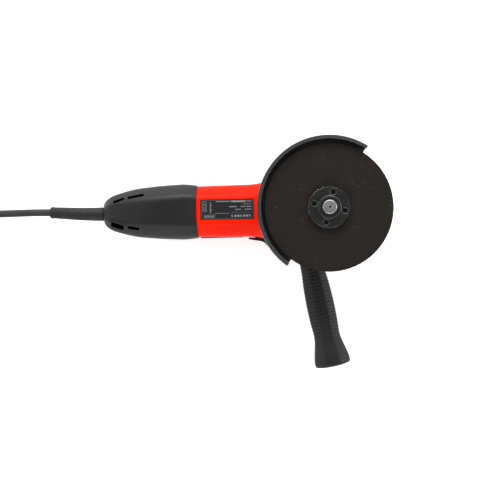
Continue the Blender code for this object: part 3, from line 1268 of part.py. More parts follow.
# ===========================================================================
# rear cover, switch and cord entry
# ===========================================================================
def build_rear_covers():
    rear_x = REAR_STATIONS[-1][0]
    front_x = REAR_STATIONS[0][0]
    seam = SEAM_GAP * 0.5
    outside = 2 * AXIS_Z
    inner = [(x, w - COVER_WALL, h - COVER_WALL, c) for x, w, h, c in REAR_STATIONS[:-1:2]]
    inner[0] = (front_x + FLUSH, *inner[0][1:])
    _, last_w, last_h, last_c = REAR_STATIONS[-1]
    inner.append((rear_x + COVER_WALL, last_w - RUN, last_h - RUN, last_c))
    for name, side in (("rear_cover_left", -1), ("rear_cover_right", 1)):
        cover = finish(loft(name, sections(REAR_STATIONS)), "black_plastic", None)
        cut(cover, loft("hollow", [section(*s) for s in inner]))
        for bx, bz in COVER_SCREWS:
            join(cover, rod_between("boss", (bx, -side * FLUSH, bz),
                                    (bx, side * COVER_BOSS_REACH, bz), COVER_BOSS_R, 12))
        low, high = sorted((side * seam, side * outside))
        keep_inside(cover, box("half", (rear_x - FLUSH, low, AXIS_Z - outside),
                               (front_x + FLUSH, high, AXIS_Z + outside)))
        cut(cover, rod_between("cord_hole", (rear_x - FLUSH, 0, AXIS_Z),
                               (rear_x + 2 * SLEEVE_COLLAR_L, 0, AXIS_Z), CORD_HOLE_R + GAP, 16))
        for x0, x1, y, half, lean in VENTS[side]:
            slot = box("vent", (x0, y - half, AXIS_Z + VENT_FLOOR), (x1, y + half, AXIS_Z + outside))
            centre = Vector(((x0 + x1) / 2, y, 0.0)) * MM
            spin = Matrix.Rotation(math.radians(lean), 4, "Z")
            slot.data.transform(Matrix.Translation(centre) @ spin @ Matrix.Translation(-centre))
            cut(cover, slot)
        for bx, bz in COVER_SCREWS:
            if side < 0:
                cut(cover, rod_between("screw_hole", (bx, FLUSH, bz), (bx, -outside, bz),
                                       COVER_SCREW_SHANK_R + GAP, 8),
                    rod_between("head_hole", (bx, GAP - COVER_SCREW_HEAD_Y, bz),
                                (bx, -outside, bz), COVER_SCREW_HEAD_R + GAP, 10))
            else:
                cut(cover, rod_between("screw_hole", (bx, -FLUSH, bz),
                                       (bx, COVER_SCREW_THREAD_END + COVER_SCREW_SHANK_R, bz),
                                       COVER_SCREW_SHANK_R + GAP, 8))


def build_rear_fittings():
    head = COVER_SCREW_HEAD_Y + COVER_SCREW_HEAD_T
    for k, (x, z) in enumerate(COVER_SCREWS):
        screw = turned_at("rear_cover_screw_%d" % (k + 1), [
            (0.0, head), (COVER_SCREW_HEAD_R, head), (COVER_SCREW_HEAD_R, COVER_SCREW_HEAD_Y),
            (0.0, COVER_SCREW_HEAD_Y)], 10, (x, 0.0, z), (90.0, 0.0, 0.0))
        finish(screw, "bright_steel", None)
        join(screw, rod_between("shank", (x, -COVER_SCREW_HEAD_Y - FLUSH, z),
                                (x, COVER_SCREW_THREAD_END, z), COVER_SCREW_SHANK_R, 10))

    finish(box("switch_body", *SWITCH_BOX), "inner_plastic", None)
    (rear, front), (low, high) = CLAMP_BLOCK_X, CLAMP_BLOCK_Z
    clamp = box("cord_clamp", (rear, -CLAMP_BLOCK_HALF, AXIS_Z + low),
                (front, CLAMP_BLOCK_HALF, AXIS_Z + high))
    finish(clamp, "inner_plastic", None)


def build_slide_switch():
    switch_axis = pivot("switch_axis", (0.0, 0.0, AXIS_Z))
    half = ROD_HEIGHT * 0.5
    rod = box("switch_rod", (ROD_REAR_X, ROD_OUTER_Y, -half),
              (ROD_FRONT_X, ROD_OUTER_Y + ROD_T, half))
    finish(rod, "inner_plastic", switch_axis)
    join(rod, box("hook", (ROD_REAR_X, ROD_OUTER_Y + ROD_T * 0.5, -half + RUN),
                  (ROD_REAR_X + HOOK_X, HOOK_Y, half - RUN)))
    under = TRACK_Y - GAP
    side_view = [(BUTTON_BACK_X, under), (BUTTON_FRONT_X, under), *BUTTON_OUTLINE]
    button = prism("slide_button", side_view, -SLIDE_HALF_Z, SLIDE_HALF_Z)
    finish(button, "black_plastic", switch_axis)
    join(button, box("tongue", (TONGUE_X[0], ROD_OUTER_Y - GAP, -TONGUE_HALF),
                     (TONGUE_X[1], under - FLUSH, TONGUE_HALF)))


def build_strain_relief():
    """Sleeve with a collar inside the rear cover; it droops a little."""
    points = smooth_path(SLEEVE_ROUTE, SLEEVE_STEP)
    loops = []
    for k, point in enumerate(points):
        ahead = points[min(k + 1, len(points) - 1)] - points[max(k - 1, 0)]
        frame = Vector((-1, 0, 0)).rotation_difference(ahead).to_matrix()
        share = k / (len(points) - 1)
        radius = SLEEVE_R + (SLEEVE_END_R - SLEEVE_R) * share
        loops.append([point + frame @ Vector((0.0, radius * math.cos(a), radius * math.sin(a)))
                      for a in [2 * math.pi * i / 14 for i in range(14)]])
    sleeve = finish(loft("strain_relief", loops), "rubber", None)
    end = REAR_STATIONS[-1][0]
    join(sleeve,
         rod_between("neck", (end - CORD_R * 0.5, 0, AXIS_Z), (end + SLEEVE_NECK_L, 0, AXIS_Z),
                     SLEEVE_NECK_R, 14),
         rod_between("collar", (end + COVER_WALL + RUN, 0, AXIS_Z),
                     (end + COVER_WALL + SLEEVE_COLLAR_L, 0, AXIS_Z), SLEEVE_COLLAR_R, 14))


def build_cord():
    path = smooth_path(CORD_ROUTE, CORD_STEP)
    finish(wire("power_cord", path, CORD_R, 3), "rubber", None)
    r_in = COIL_TURN_R[0] - CORD_R - TIE_T
    r_out = COIL_TURN_R[-1] + CORD_R + GAP
    height = COIL_LOW_Z + COIL_PITCH * (COIL_LAYERS - 1) + CORD_R + TIE_T
    coil = turned_at("cord_coil", [
        (r_in, height), (r_out, height), (r_out, COIL_LIFT), (r_in, COIL_LIFT)], 36,
        (*COIL_CENTRE, 0.0))
    finish(coil, "rubber", None)

    half_w, half_h, length = PLUG_BODY
    x = COIL_CENTRE[0] - COIL_TURN_R[-1]
    chord = math.sqrt(r_out ** 2 - (COIL_TURN_R[-1] - PLUG_SLEEVE_R) ** 2)
    sleeve_y = COIL_CENTRE[1] - chord - GAP
    body_y = sleeve_y - PLUG_SLEEVE_L
    z = half_h
    loops = []
    for back, w, h in (*PLUG_NECK, (length, half_w, half_h)):
        ring = []
        for i in range(20):
            angle = 2 * math.pi * i / 20
            c, s = math.cos(angle), math.sin(angle)
            ring.append((x + w * math.copysign(abs(c) ** PLUG_CURVE, c), body_y - back,
                         z + h * math.copysign(abs(s) ** PLUG_CURVE, s)))
        loops.append(ring)
    plug = finish(loft("mains_plug", loops), "rubber", None)
    join(plug, rod_between("sleeve", (x, sleeve_y, z), (x, body_y - 2 * FLUSH, z),
                           PLUG_SLEEVE_R, 12, PLUG_SLEEVE_R + RUN))
    for side in (-1, 1):
        px = x + side * PLUG_PIN_SPACING * 0.5
        join(plug, rod_between("pin", (px, body_y - length + 2 * FLUSH, z),
                               (px, body_y - length - PLUG_PIN_L, z), PLUG_PIN_R, 12))


# ===========================================================================
# side handle
# ===========================================================================
def build_handle():
    root = handle_root(-1)
    out = handle_direction(-1)
    turn = Vector((0, 0, 1)).rotation_difference(out).to_euler()
    handle_axis = pivot("handle_axis", root, [math.degrees(a) for a in turn])
    stretch = HANDLE_LENGTH / HANDLE_PROFILE[-1][0]
    profile = [(0.0, HANDLE_LENGTH)]
    profile += [(r, s * stretch) for s, r in reversed(HANDLE_PROFILE)]
    hole_end = STUD_IN_GRIP + STUD_END_ROOM
    profile += [(STUD_R + GAP, 0.0), (STUD_R + GAP, hole_end), (0.0, hole_end)]
    finish(turned("handle_grip", profile, 20), "black_plastic", handle_axis)
    stud = turned("handle_stud", [
        (0.0, STUD_IN_GRIP), (STUD_R, STUD_IN_GRIP), (STUD_R, STUD_EDGE - STUD_IN_CASE),
        (STUD_R - STUD_EDGE, -STUD_IN_CASE), (0.0, -STUD_IN_CASE)], 12)
    finish(stud, "bright_steel", handle_axis)


def build_all():
    spindle_axis = pivot("spindle_axis", (0.0, 0.0, 0.0))
    motor_axis = pivot("motor_axis", (0.0, 0.0, AXIS_Z), (0.0, 90.0, 0.0))
    build_spindle_group(spindle_axis)
    build_gear_case()
    build_bearing_cover()
    build_head_fittings(spindle_axis)
    build_spindle_lock()
    build_guard()
    build_motor_housing()
    build_rating_label()
    build_stator()
    build_armature(motor_axis)
    build_motor_fittings(motor_axis)
    build_rear_covers()
    build_rear_fittings()
    build_slide_switch()
    build_strain_relief()
    build_cord()
    build_handle()
    bpy.context.view_layer.update()


build_all()
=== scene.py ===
"""Looks of the corded 125 mm angle grinder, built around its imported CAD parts.

Sizes are in millimetres, as on the CAD part, and become metres through MM.
"""
from math import copysign, cos, exp, pi, radians, sin, sqrt, tau

import bmesh
import bpy
from mathutils import Matrix, Vector


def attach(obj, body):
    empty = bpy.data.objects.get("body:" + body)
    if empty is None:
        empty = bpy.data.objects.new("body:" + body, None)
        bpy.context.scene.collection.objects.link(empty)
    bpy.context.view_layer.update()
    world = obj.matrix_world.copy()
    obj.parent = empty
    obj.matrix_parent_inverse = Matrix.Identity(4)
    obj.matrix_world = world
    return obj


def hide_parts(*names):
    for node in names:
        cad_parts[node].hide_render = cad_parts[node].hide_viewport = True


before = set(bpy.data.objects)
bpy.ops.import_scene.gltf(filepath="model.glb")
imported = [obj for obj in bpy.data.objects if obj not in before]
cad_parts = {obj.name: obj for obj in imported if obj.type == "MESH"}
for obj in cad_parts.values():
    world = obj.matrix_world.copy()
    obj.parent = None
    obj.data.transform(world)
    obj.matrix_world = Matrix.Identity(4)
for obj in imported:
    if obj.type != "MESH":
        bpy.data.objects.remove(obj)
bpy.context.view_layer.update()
MM = 0.001
GAP = 0.3
AXIS_Z = 31.0


# --- camera ---
def add_camera():
    data = bpy.data.cameras.new("camera")
    data.sensor_width = 36.0
    data.lens = 81.6
    data.clip_end = 20.0
    camera = bpy.data.objects.new("camera", data)
    camera.location = (-0.0776, -0.0398, 1.184)
    camera.rotation_euler = (0.0, 0.0, radians(-1.2))
    bpy.context.scene.collection.objects.link(camera)
    bpy.context.scene.camera = camera


add_camera()
bpy.context.scene.view_settings.view_transform = "Standard"


# --- mesh helpers ---
def link(obj):
    bpy.context.scene.collection.objects.link(obj)
    return obj


def to_object(name, bm):
    mesh = bpy.data.meshes.new(name)
    bmesh.ops.recalc_face_normals(bm, faces=bm.faces)
    if bm.calc_volume(signed=True) < 0.0:
        bmesh.ops.reverse_faces(bm, faces=bm.faces)
    bm.to_mesh(mesh)
    bm.free()
    return link(bpy.data.objects.new(name, mesh))


def loft(name, loops, closed=False):
    bm = bmesh.new()
    rings = [[bm.verts.new(Vector(p) * MM) for p in loop] for loop in loops]
    count = len(rings[0])
    pairs = list(zip(rings, rings[1:]))
    if closed:
        pairs.append((rings[-1], rings[0]))
    for near, far in pairs:
        for i in range(count):
            j = (i + 1) % count
            bm.faces.new((near[i], near[j], far[j], far[i]))
    if not closed:
        bm.faces.new(rings[0])
        bm.faces.new(rings[-1])
    return to_object(name, bm)


def turned(name, profile, segments=96, ripple=None):
    """Rings of (radius, height); ripple(angle, radius, height) may change a radius."""
    bm = bmesh.new()
    rings = []
    for r, z in profile:
        if r == 0.0:
            rings.append([bm.verts.new((0.0, 0.0, z * MM))])
            continue
        ring = []
        for i in range(segments):
            a = tau * i / segments
            q = r if ripple is None else ripple(a, r, z)
            ring.append(bm.verts.new((q * cos(a) * MM, q * sin(a) * MM, z * MM)))
        rings.append(ring)
    pairs = list(zip(rings, rings[1:]))
    if len(rings[0]) > 1:
        pairs.append((rings[-1], rings[0]))
    for near, far in pairs:
        for i in range(segments):
            j = (i + 1) % segments
            if len(near) == 1:
                bm.faces.new((near[0], far[j], far[i]))
            elif len(far) == 1:
                bm.faces.new((near[i], near[j], far[0]))
            else:
                bm.faces.new((near[i], near[j], far[j], far[i]))
    return to_object(name, bm)


def place(obj, where, degrees=0.0):
    """Turns a piece about Z and then moves its origin to where."""
    turn = Matrix.Rotation(radians(degrees), 4, "Z")
    obj.data.transform(Matrix.Translation(Vector(where) * MM) @ turn)
    return obj


def along(obj, start, direction):
    """Turns a piece made about Z so that Z runs along direction from start."""
    turn = Vector((0, 0, 1)).rotation_difference(Vector(direction)).to_matrix().to_4x4()
    obj.data.transform(Matrix.Translation(Vector(start) * MM) @ turn)
    return obj


def rod(name, start, end, radius, segments=48):
    run = Vector(end) - Vector(start)
    profile = [(0.0, 0.0), (radius, 0.0), (radius, run.length), (0.0, run.length)]
    return along(turned(name, profile, segments), start, run)


def x_rod(name, x0, x1, radius, segments=48, y=0.0, up=0.0):
    """A rod parallel to the motor's axis, y and up away from it."""
    return rod(name, (x0, y, AXIS_Z + up), (x1, y, AXIS_Z + up), radius, segments)


def prism(name, outline, low, high):
    return loft(name, [[(x, y, z) for x, y in outline] for z in (low, high)])


def box(name, low, high):
    (x0, y0, z0), (x1, y1, z1) = low, high
    return prism(name, [(x0, y0), (x1, y0), (x1, y1), (x0, y1)], z0, z1)


def bevel(obj, width, segments=2, angle=40.0):
    step = obj.modifiers.new("bevel", "BEVEL")
    step.width = width * MM
    step.segments = segments
    step.limit_method = "ANGLE"
    step.angle_limit = radians(angle)
    return bake(obj)


def bake(obj):
    bpy.context.view_layer.update()
    graph = bpy.context.evaluated_depsgraph_get()
    mesh = bpy.data.meshes.new_from_object(obj.evaluated_get(graph))
    obj.modifiers.clear()
    obj.data = mesh
    return obj


def boolean(target, operation, others):
    for other in others:
        step = target.modifiers.new(operation.lower(), "BOOLEAN")
        step.operation = operation
        step.solver = "EXACT"
        step.object = other
    bake(target)
    for other in others:
        bpy.data.objects.remove(other)
    return target


def cut(target, *others):
    return boolean(target, "DIFFERENCE", others)


def join(target, *others):
    return boolean(target, "UNION", others)


def keep_inside(target, other):
    return boolean(target, "INTERSECT", (other,))


def merge(name, pieces):
    """One object of several separate closed shells."""
    bm = bmesh.new()
    for piece in pieces:
        bm.from_mesh(piece.data)
        bpy.data.objects.remove(piece)
    mesh = bpy.data.meshes.new(name)
    bm.to_mesh(mesh)
    bm.free()
    return link(bpy.data.objects.new(name, mesh))


def arc(radius, start, end, steps, centre=(0.0, 0.0)):
    points = []
    for i in range(steps + 1):
        angle = radians(start + (end - start) * i / steps)
        points.append((centre[0] + radius * cos(angle), centre[1] + radius * sin(angle)))
    return points


def polar(radius, degrees):
    return radius * cos(radians(degrees)), radius * sin(radians(degrees))


def spread(values, t):
    """Catmull-Rom through equal-length tuples at fractional index t."""
    last = len(values) - 1
    k = min(int(t), last - 1)
    u = t - k
    a = values[max(k - 1, 0)]
    b, c = values[k], values[k + 1]
    d = values[min(k + 2, last)]
    return [0.5 * (2 * q + (r - p) * u + (2 * p - 5 * q + 4 * r - s) * u * u
                   + (3 * q - p - 3 * r + s) * u ** 3) for p, q, r, s in zip(a, b, c, d)]


def smooth_path(points, spacing):
    fine = [Vector(spread(points, k / 20.0)) for k in range(20 * (len(points) - 1) + 1)]
    lengths = [0.0]
    for a, b in zip(fine, fine[1:]):
        lengths.append(lengths[-1] + (b - a).length)
    steps = max(2, round(lengths[-1] / spacing))
    path = []
    k = 0
    for i in range(steps + 1):
        want = lengths[-1] * i / steps
        while k < len(lengths) - 2 and lengths[k + 1] < want:
            k += 1
        share = (want - lengths[k]) / (lengths[k + 1] - lengths[k])
        path.append(fine[k].lerp(fine[k + 1], share))
    return path


def tube(name, points, radius, resolution):
    curve = bpy.data.curves.new(name, "CURVE")
    curve.dimensions = "3D"
    curve.bevel_depth = radius * MM
    curve.bevel_resolution = resolution
    curve.use_fill_caps = True
    spline = curve.splines.new("POLY")
    spline.points.add(len(points) - 1)
    for knot, point in zip(spline.points, points):
        knot.co = (point[0] * MM, point[1] * MM, point[2] * MM, 1.0)
    return link(bpy.data.objects.new(name, curve))


# --- materials ---
STYLES = {}  # the finished materials, by name


class Nodes:
    """Short hand for a material's node tree; works in metres of object space."""

    def __init__(self, name):
        self.name = name
        self.material = bpy.data.materials.new(name)
        self.material.use_nodes = True
        self.tree = self.material.node_tree
        self.shader = self.tree.nodes["Principled BSDF"]
        self.point = self.add("ShaderNodeTexCoord").outputs["Object"]

    def add(self, kind, links=(), **values):
        node = self.tree.nodes.new(kind)
        for key, value in values.items():
            setattr(node, key, value)
        for socket, source in links:
            self.plug(node.inputs[socket], source)
        return node

    def plug(self, socket, source):
        if isinstance(source, bpy.types.NodeSocket):
            self.tree.links.new(source, socket)
        else:
            socket.default_value = source

    def noise(self, scale, detail=2.0, rough=0.5, warp=0.0, stretch=None):
        point = self.point
        if stretch:
            links = [("Vector", point), ("Scale", stretch)]
            point = self.add("ShaderNodeMapping", links).outputs[0]
        return self.add("ShaderNodeTexNoise", [
            ("Vector", point), ("Scale", scale), ("Detail", detail), ("Roughness", rough),
            ("Distortion", warp)]).outputs["Fac"]

    def math(self, operation, a, b=0.0):
        return self.add("ShaderNodeMath", [(0, a), (1, b)], operation=operation).outputs[0]

    def span(self, value, low, high, to_low, to_high):
        """Maps low..high to to_low..to_high, held at both ends."""
        return self.add("ShaderNodeMapRange", [
            (0, value), (1, low), (2, high), (3, to_low), (4, to_high)]).outputs[0]

    def mix(self, share, a, b):
        node = self.add("ShaderNodeMix", data_type="RGBA")
        self.plug(node.inputs[0], share)
        self.plug(node.inputs[6], (*a, 1.0) if isinstance(a, tuple) else a)
        self.plug(node.inputs[7], (*b, 1.0) if isinstance(b, tuple) else b)
        return node.outputs[2]

    def edges(self, radius):
        """(rounded normal, 0..1 mask of the sharp edges)."""
        rounded = self.add("ShaderNodeBevel", [("Radius", radius * MM)], samples=4).outputs[0]
        flat = self.add("ShaderNodeNewGeometry").outputs["Normal"]
        near = self.add("ShaderNodeVectorMath", [(0, rounded), (1, flat)],
                        operation="DOT_PRODUCT").outputs["Value"]
        return rounded, self.span(near, 0.985, 0.90, 0.0, 1.0)

    def bump(self, height, distance, normal=None, strength=1.0):
        links = [("Height", height), ("Distance", distance * MM), ("Strength", strength)]
        if normal is not None:
            links.append(("Normal", normal))
        return self.add("ShaderNodeBump", links).outputs[0]

    def finish(self, colour, roughness, normal=None, metallic=0.0, **extra):
        inputs = self.shader.inputs
        self.plug(inputs["Base Color"], colour)
        self.plug(inputs["Roughness"], roughness)
        if normal is not None:
            self.plug(inputs["Normal"], normal)
        inputs["Metallic"].default_value = metallic
        for name, value in extra.items():
            inputs[name.replace("_", " ")].default_value = value
        STYLES[self.name] = self.material


def tint(colour, factor):
    return tuple(min(1.0, c * factor) for c in colour)


def moulded(name, colour, roughness, grain, depth, worn=1.5, radius=0.35, vary=0.12, **extra):
    """Moulded plastic or rubber: soft blotches, a fine spark-eroded grain, paler edges."""
    m = Nodes(name)
    normal, edge = m.edges(radius)
    blotch = m.noise(28.0, 3.0, 0.55)
    fine = m.noise(1000.0 / grain, 2.0, 0.6)
    base = m.mix(blotch, tint(colour, 1.0 - vary), tint(colour, 1.0 + vary))
    scuff = m.math("MULTIPLY", edge, m.span(m.noise(260.0, 3.0, 0.6), 0.42, 0.62, 0.0, 0.75))
    base = m.mix(scuff, base, tint(colour, worn))
    rough = m.math("ADD", m.span(fine, 0.3, 0.7, -0.05, 0.07),
                   m.span(blotch, 0.3, 0.7, roughness - 0.04, roughness + 0.05))
    m.finish(base, rough, m.bump(fine, depth, normal, 0.8), **extra)


def metal(name, colour, roughness, scratch, metallic=1.0, worn=1.4, radius=0.25):
    """Machined or plated metal: fine stretched scratches, uneven sheen, brighter edges."""
    m = Nodes(name)
    normal, edge = m.edges(radius)
    blotch = m.noise(60.0, 4.0, 0.6)
    lines = m.noise(900.0, 3.0, 0.6, stretch=(1.0, 1.0, 0.06))
    base = m.mix(blotch, tint(colour, 0.82), tint(colour, 1.12))
    base = m.mix(m.math("MULTIPLY", edge, 0.8), base, tint(colour, worn))
    rough = m.math("ADD", m.span(lines, 0.3, 0.7, -scratch, scratch),
                   m.span(blotch, 0.3, 0.7, roughness - 0.05, roughness + 0.08))
    m.finish(base, rough, m.bump(lines, 0.02, normal, 0.5), metallic=metallic)


def coated(name, colour, roughness, grain, depth, bare, wear):
    """Painted, cast or blackened metal: orange-peel grain, and bare metal where edges rub."""
    m = Nodes(name)
    normal, edge = m.edges(0.4)
    fine = m.noise(1000.0 / grain, 3.0, 0.55)
    blotch = m.noise(45.0, 4.0, 0.6)
    rub = m.math("MULTIPLY", edge, m.span(m.noise(420.0, 4.0, 0.65), 0.45, 0.6, 0.0, wear))
    base = m.mix(blotch, tint(colour, 0.8), tint(colour, 1.2))
    base = m.mix(rub, base, bare)
    rough = m.span(fine, 0.3, 0.7, roughness - 0.07, roughness + 0.07)
    m.plug(m.shader.inputs["Metallic"], m.span(rub, 0.0, 1.0, 0.25, 1.0))
    m.finish(base, rough, m.bump(fine, depth, normal, 0.8))


def abrasive_material():
    """Resin-bonded grit over a glass-fibre net, with a few bright and coloured grains."""
    m = Nodes("abrasive")
    normal, _ = m.edges(0.3)
    grit = m.add("ShaderNodeTexVoronoi", [("Vector", m.point), ("Scale", 1500.0)])
    tone = m.add("ShaderNodeSeparateColor", [(0, grit.outputs["Color"])])
    blotch = m.noise(38.0, 5.0, 0.6, 0.4)
    base = m.mix(blotch, (0.0070, 0.0058, 0.0046), (0.0115, 0.0094, 0.0073))
    base = m.mix(m.span(tone.outputs[0], 0.0, 1.0, 0.0, 0.4), base, (0.019, 0.0155, 0.012))
    clouds = m.span(m.noise(70.0, 4.0, 0.6), 0.56, 0.74, 0.0, 1.0)
    bright = m.math("MULTIPLY", m.span(tone.outputs[1], 0.93, 0.96, 0.0, 0.85), clouds)
    base = m.mix(bright, base, (0.17, 0.14, 0.09))
    odd = m.math("MULTIPLY", m.span(tone.outputs[2], 0.985, 0.99, 0.0, 0.8), clouds)
    base = m.mix(odd, base, (0.08, 0.10, 0.03))
    weave = m.add("ShaderNodeSeparateXYZ", [(0, m.point)])
    net = [m.span(m.math("PINGPONG", m.math("ABSOLUTE", weave.outputs[k]), 0.0016),
                  0.0, 0.0005, 1.0, 0.0) for k in (0, 1)]
    threads = m.math("MAXIMUM", net[0], net[1])
    base = m.mix(m.math("MULTIPLY", threads, 0.22), base, (0.030, 0.025, 0.019))
    height = m.math("ADD", grit.outputs["Distance"], m.math("MULTIPLY", threads, 0.35))
    rough = m.span(tone.outputs[1], 0.0, 1.0, 0.62, 0.92)
    m.finish(base, rough, m.bump(height, 0.16, normal, 0.7), Specular_IOR_Level=0.14)


def turned_face_material():
    """Faced steel end of the spindle: fine rings about the spindle axis, and painted shade in its
    centre hole.
    """
    m = Nodes("faced_steel")
    normal, edge = m.edges(0.2)
    flat = m.add("ShaderNodeMapping", [("Vector", m.point), ("Scale", (1.0, 1.0, 0.0))]).outputs[0]
    reach = m.add("ShaderNodeVectorMath", [(0, flat)], operation="LENGTH").outputs["Value"]
    rings = m.math("SINE", m.math("MULTIPLY", reach, 16000.0))
    blotch = m.noise(300.0, 4.0, 0.6)
    base = m.mix(blotch, (0.24, 0.25, 0.24), (0.33, 0.34, 0.33))
    base = m.mix(m.math("MULTIPLY", edge, 0.6), base, (0.75, 0.75, 0.74))
    # painted shade: near-black within about 1 mm of the axis, the shade inside the centre hole
    base = m.mix(m.span(reach, 0.00095, 0.0011, 1.0, 0.0), base, (0.004, 0.004, 0.004))
    rough = m.math("ADD", m.span(rings, -1.0, 1.0, -0.04, 0.04),
                   m.span(blotch, 0.3, 0.7, 0.36, 0.46))
    m.finish(base, rough, m.bump(rings, 0.006, normal, 0.6), metallic=0.85)


def lamination_material():
    """Stacked sheet: fine lines across the armature axis."""
    m = Nodes("lamination")
    normal, _ = m.edges(0.2)
    across = m.add("ShaderNodeSeparateXYZ", [(0, m.point)]).outputs[0]
    sheets = m.math("SINE", m.math("MULTIPLY", across, tau / (0.5 * MM)))
    base = m.mix(m.span(sheets, -1.0, 1.0, 0.0, 1.0), (0.16, 0.16, 0.17), (0.30, 0.30, 0.31))
    base = m.mix(m.math("MULTIPLY", m.noise(90.0, 4.0, 0.6), 0.5), base, (0.20, 0.17, 0.14))
    m.finish(base, 0.5, m.bump(sheets, 0.03, normal, 0.6), metallic=0.8)


def winding_material():
    """Enamelled copper wire laid side by side."""
    m = Nodes("copper")
    normal, _ = m.edges(0.2)
    turns = m.add("ShaderNodeTexWave", [
        ("Vector", m.point), ("Scale", 420.0), ("Distortion", 2.0), ("Detail", 2.0)]).outputs["Fac"]
    base = m.mix(turns, (0.30, 0.10, 0.035), (0.62, 0.25, 0.10))
    base = m.mix(m.math("MULTIPLY", m.noise(150.0, 3.0, 0.6), 0.4), base, (0.38, 0.13, 0.05))
    m.finish(base, 0.32, m.bump(turns, 0.12, normal, 0.8), metallic=0.7)


def felt_material():
    m = Nodes("felt")
    fibre = m.noise(1400.0, 5.0, 0.7, 1.2)
    base = m.mix(fibre, (0.28, 0.28, 0.26), (0.52, 0.51, 0.48))
    m.finish(base, 0.95, m.bump(fibre, 0.15), Sheen_Weight=0.4)


RED = (0.93, 0.013, 0.001)
BLACK = (0.0095, 0.0095, 0.010)
moulded("red_plastic", RED, 0.38, 0.55, 0.020, 1.2, 0.45, 0.06, Specular_IOR_Level=0.06)
moulded("black_plastic", BLACK, 0.46, 0.5, 0.035, 2.6, 0.4, Specular_IOR_Level=0.27)
moulded("grip_plastic", (0.0085, 0.009, 0.009), 0.52, 0.6, 0.05, 2.8, 0.35, Specular_IOR_Level=0.28)
moulded("inner_plastic", (0.10, 0.10, 0.10), 0.6, 0.8, 0.03, 1.4, 0.3)
moulded("rubber", (0.011, 0.011, 0.0115), 0.62, 0.7, 0.03, 1.5, 0.3, Specular_IOR_Level=0.36)
moulded("cord_rubber", (0.018, 0.018, 0.0185), 0.60, 0.9, 0.03, 1.4, 0.3)
moulded("carbon", (0.05, 0.05, 0.05), 0.7, 0.4, 0.03, 1.5, 0.2)
coated("cast_alloy", (0.060, 0.060, 0.062), 0.48, 1.1, 0.06, (0.45, 0.45, 0.46), 0.5)
coated("guard_steel", (0.036, 0.037, 0.038), 0.40, 1.4, 0.03, (0.40, 0.40, 0.40), 0.8)
metal("black_steel", (0.030, 0.032, 0.030), 0.42, 0.06, 0.85, 15.0, 0.4)
metal("bright_steel", (0.55, 0.55, 0.54), 0.32, 0.06)
metal("brass", (0.72, 0.52, 0.22), 0.33, 0.05)
lamination_material()
winding_material()
felt_material()
abrasive_material()
turned_face_material()
moulded("label", (0.010, 0.010, 0.011), 0.34, 1.4, 0.008, 1.6, 0.1)
moulded("label_print", (0.22, 0.225, 0.23), 0.42, 0.6, 0.01, 1.1, 0.05)


def paint(obj, style):
    obj.data.materials.clear()
    obj.data.materials.append(STYLES[style])


def show(obj, style, *replaced, body="root", slot=None, angle=32.0):
    """A finished visible piece: its material, the body it rides and the nodes it stands for."""
    paint(obj, style)
    if obj.type == "MESH":
        obj.data.shade_smooth()
        obj.data.set_sharp_from_angle(angle=radians(angle))
        step = obj.modifiers.new("weighted", "WEIGHTED_NORMAL")
        step.keep_sharp = True
    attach(obj, body)
    if replaced:
        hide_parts(*replaced)
    return obj


CARRIED = {
    "black_steel": ("drive_gear", "pinion_gear"),
    "bright_steel": ("needle_bearing", "spindle_bearing_outer", "spindle_bearing_inner",
                     "spindle_bearing_balls", "armature_shaft", "armature_front_bearing",
                     "bearing_retainer", "armature_rear_bearing", "lock_spring", "handle_stud"),
    "inner_plastic": ("cooling_fan", "air_baffle", "switch_body", "switch_rod", "cord_clamp"),
    "lamination": ("stator_core", "armature_core"),
    "copper": ("field_coil_left", "field_coil_right", "armature_winding", "commutator"),
    "carbon": ("carbon_brush_upper", "carbon_brush_lower"),
    "brass": ("brush_holder_upper", "brush_holder_lower"),
    "rubber": ("bearing_boot",),
    "felt": ("dust_seal",),
}
for style, names in CARRIED.items():
    for node in names:
        paint(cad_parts[node], style)


# --- motor housing and rear cover ---
HOUSING_STATIONS = (
    (-129.0, 25.5, 27.5, 1.55), (-100.0, 26.0, 27.5, 1.55),
    (-80.0, 26.3, 27.6, 1.55), (-72.0, 26.6, 28.0, 1.58),
    (-65.0, 27.8, 29.1, 1.65), (-58.0, 29.9, 30.4, 1.75),
    (-52.0, 31.0, 31.0, 1.78), (-48.3, 31.0, 31.0, 1.78),
)
REAR_STATIONS = (
    (-129.3, 26.3, 28.4, 1.55), (-135.0, 27.2, 29.8, 1.55),
    (-143.0, 27.8, 31.0, 1.55), (-155.0, 27.4, 31.0, 1.54),
    (-167.0, 26.7, 30.4, 1.53), (-178.0, 25.7, 29.4, 1.52),
    (-190.0, 24.4, 27.4, 1.50), (-202.0, 21.8, 24.4, 1.48),
    (-214.7, 18.0, 19.8, 1.46), (-220.8, 14.5, 15.8, 1.44),
    (-224.3, 10.6, 11.6, 1.44),
)
COVER_SCREWS = ((-151.0, 10.0), (-205.0, 18.5))
VENTS = {  # of each side: (x, x, y, half width, lean in degrees)
    1: ((-199.0, -182.0, 16.0, 1.3, 9.0), (-214.0, -202.0, 12.5, 1.3, 17.0)),
    -1: ((-199.5, -187.5, -15.6, 1.4, -10.0), (-217.0, -203.0, -13.1, 2.2, -18.0)),
}
SEAM_BULGE = 1.2  # how far the red housing reaches back at the middle of the joint
SECTION_POINTS = 120
SECTION_POWER = 20.0  # the higher, the sharper the corners of a section
COVER_WALL = 2.2
COVER_SCREW_Y = -12.6  # under the screw heads
CORD_HOLE_R = 6.3
HOUSING_REAR_X = HOUSING_STATIONS[0][0]
CUT_END_X = -47.3  # cuts end here, beyond the housing's front face
SPIGOT_L, SPIGOT_R = 5.5, 23.3
REAR_BORE_R, STATOR_SEAT_R, FAN_BORE_R = 21.3, 23.3, 25.0
STATOR_SEAT_X, BAFFLE_X = -109.0, -63.8
CASE_SCREW_OFFSET = 24.0  # from the motor's axis, sideways and up or down
CASE_SCREW_HOLE_R = 2.0
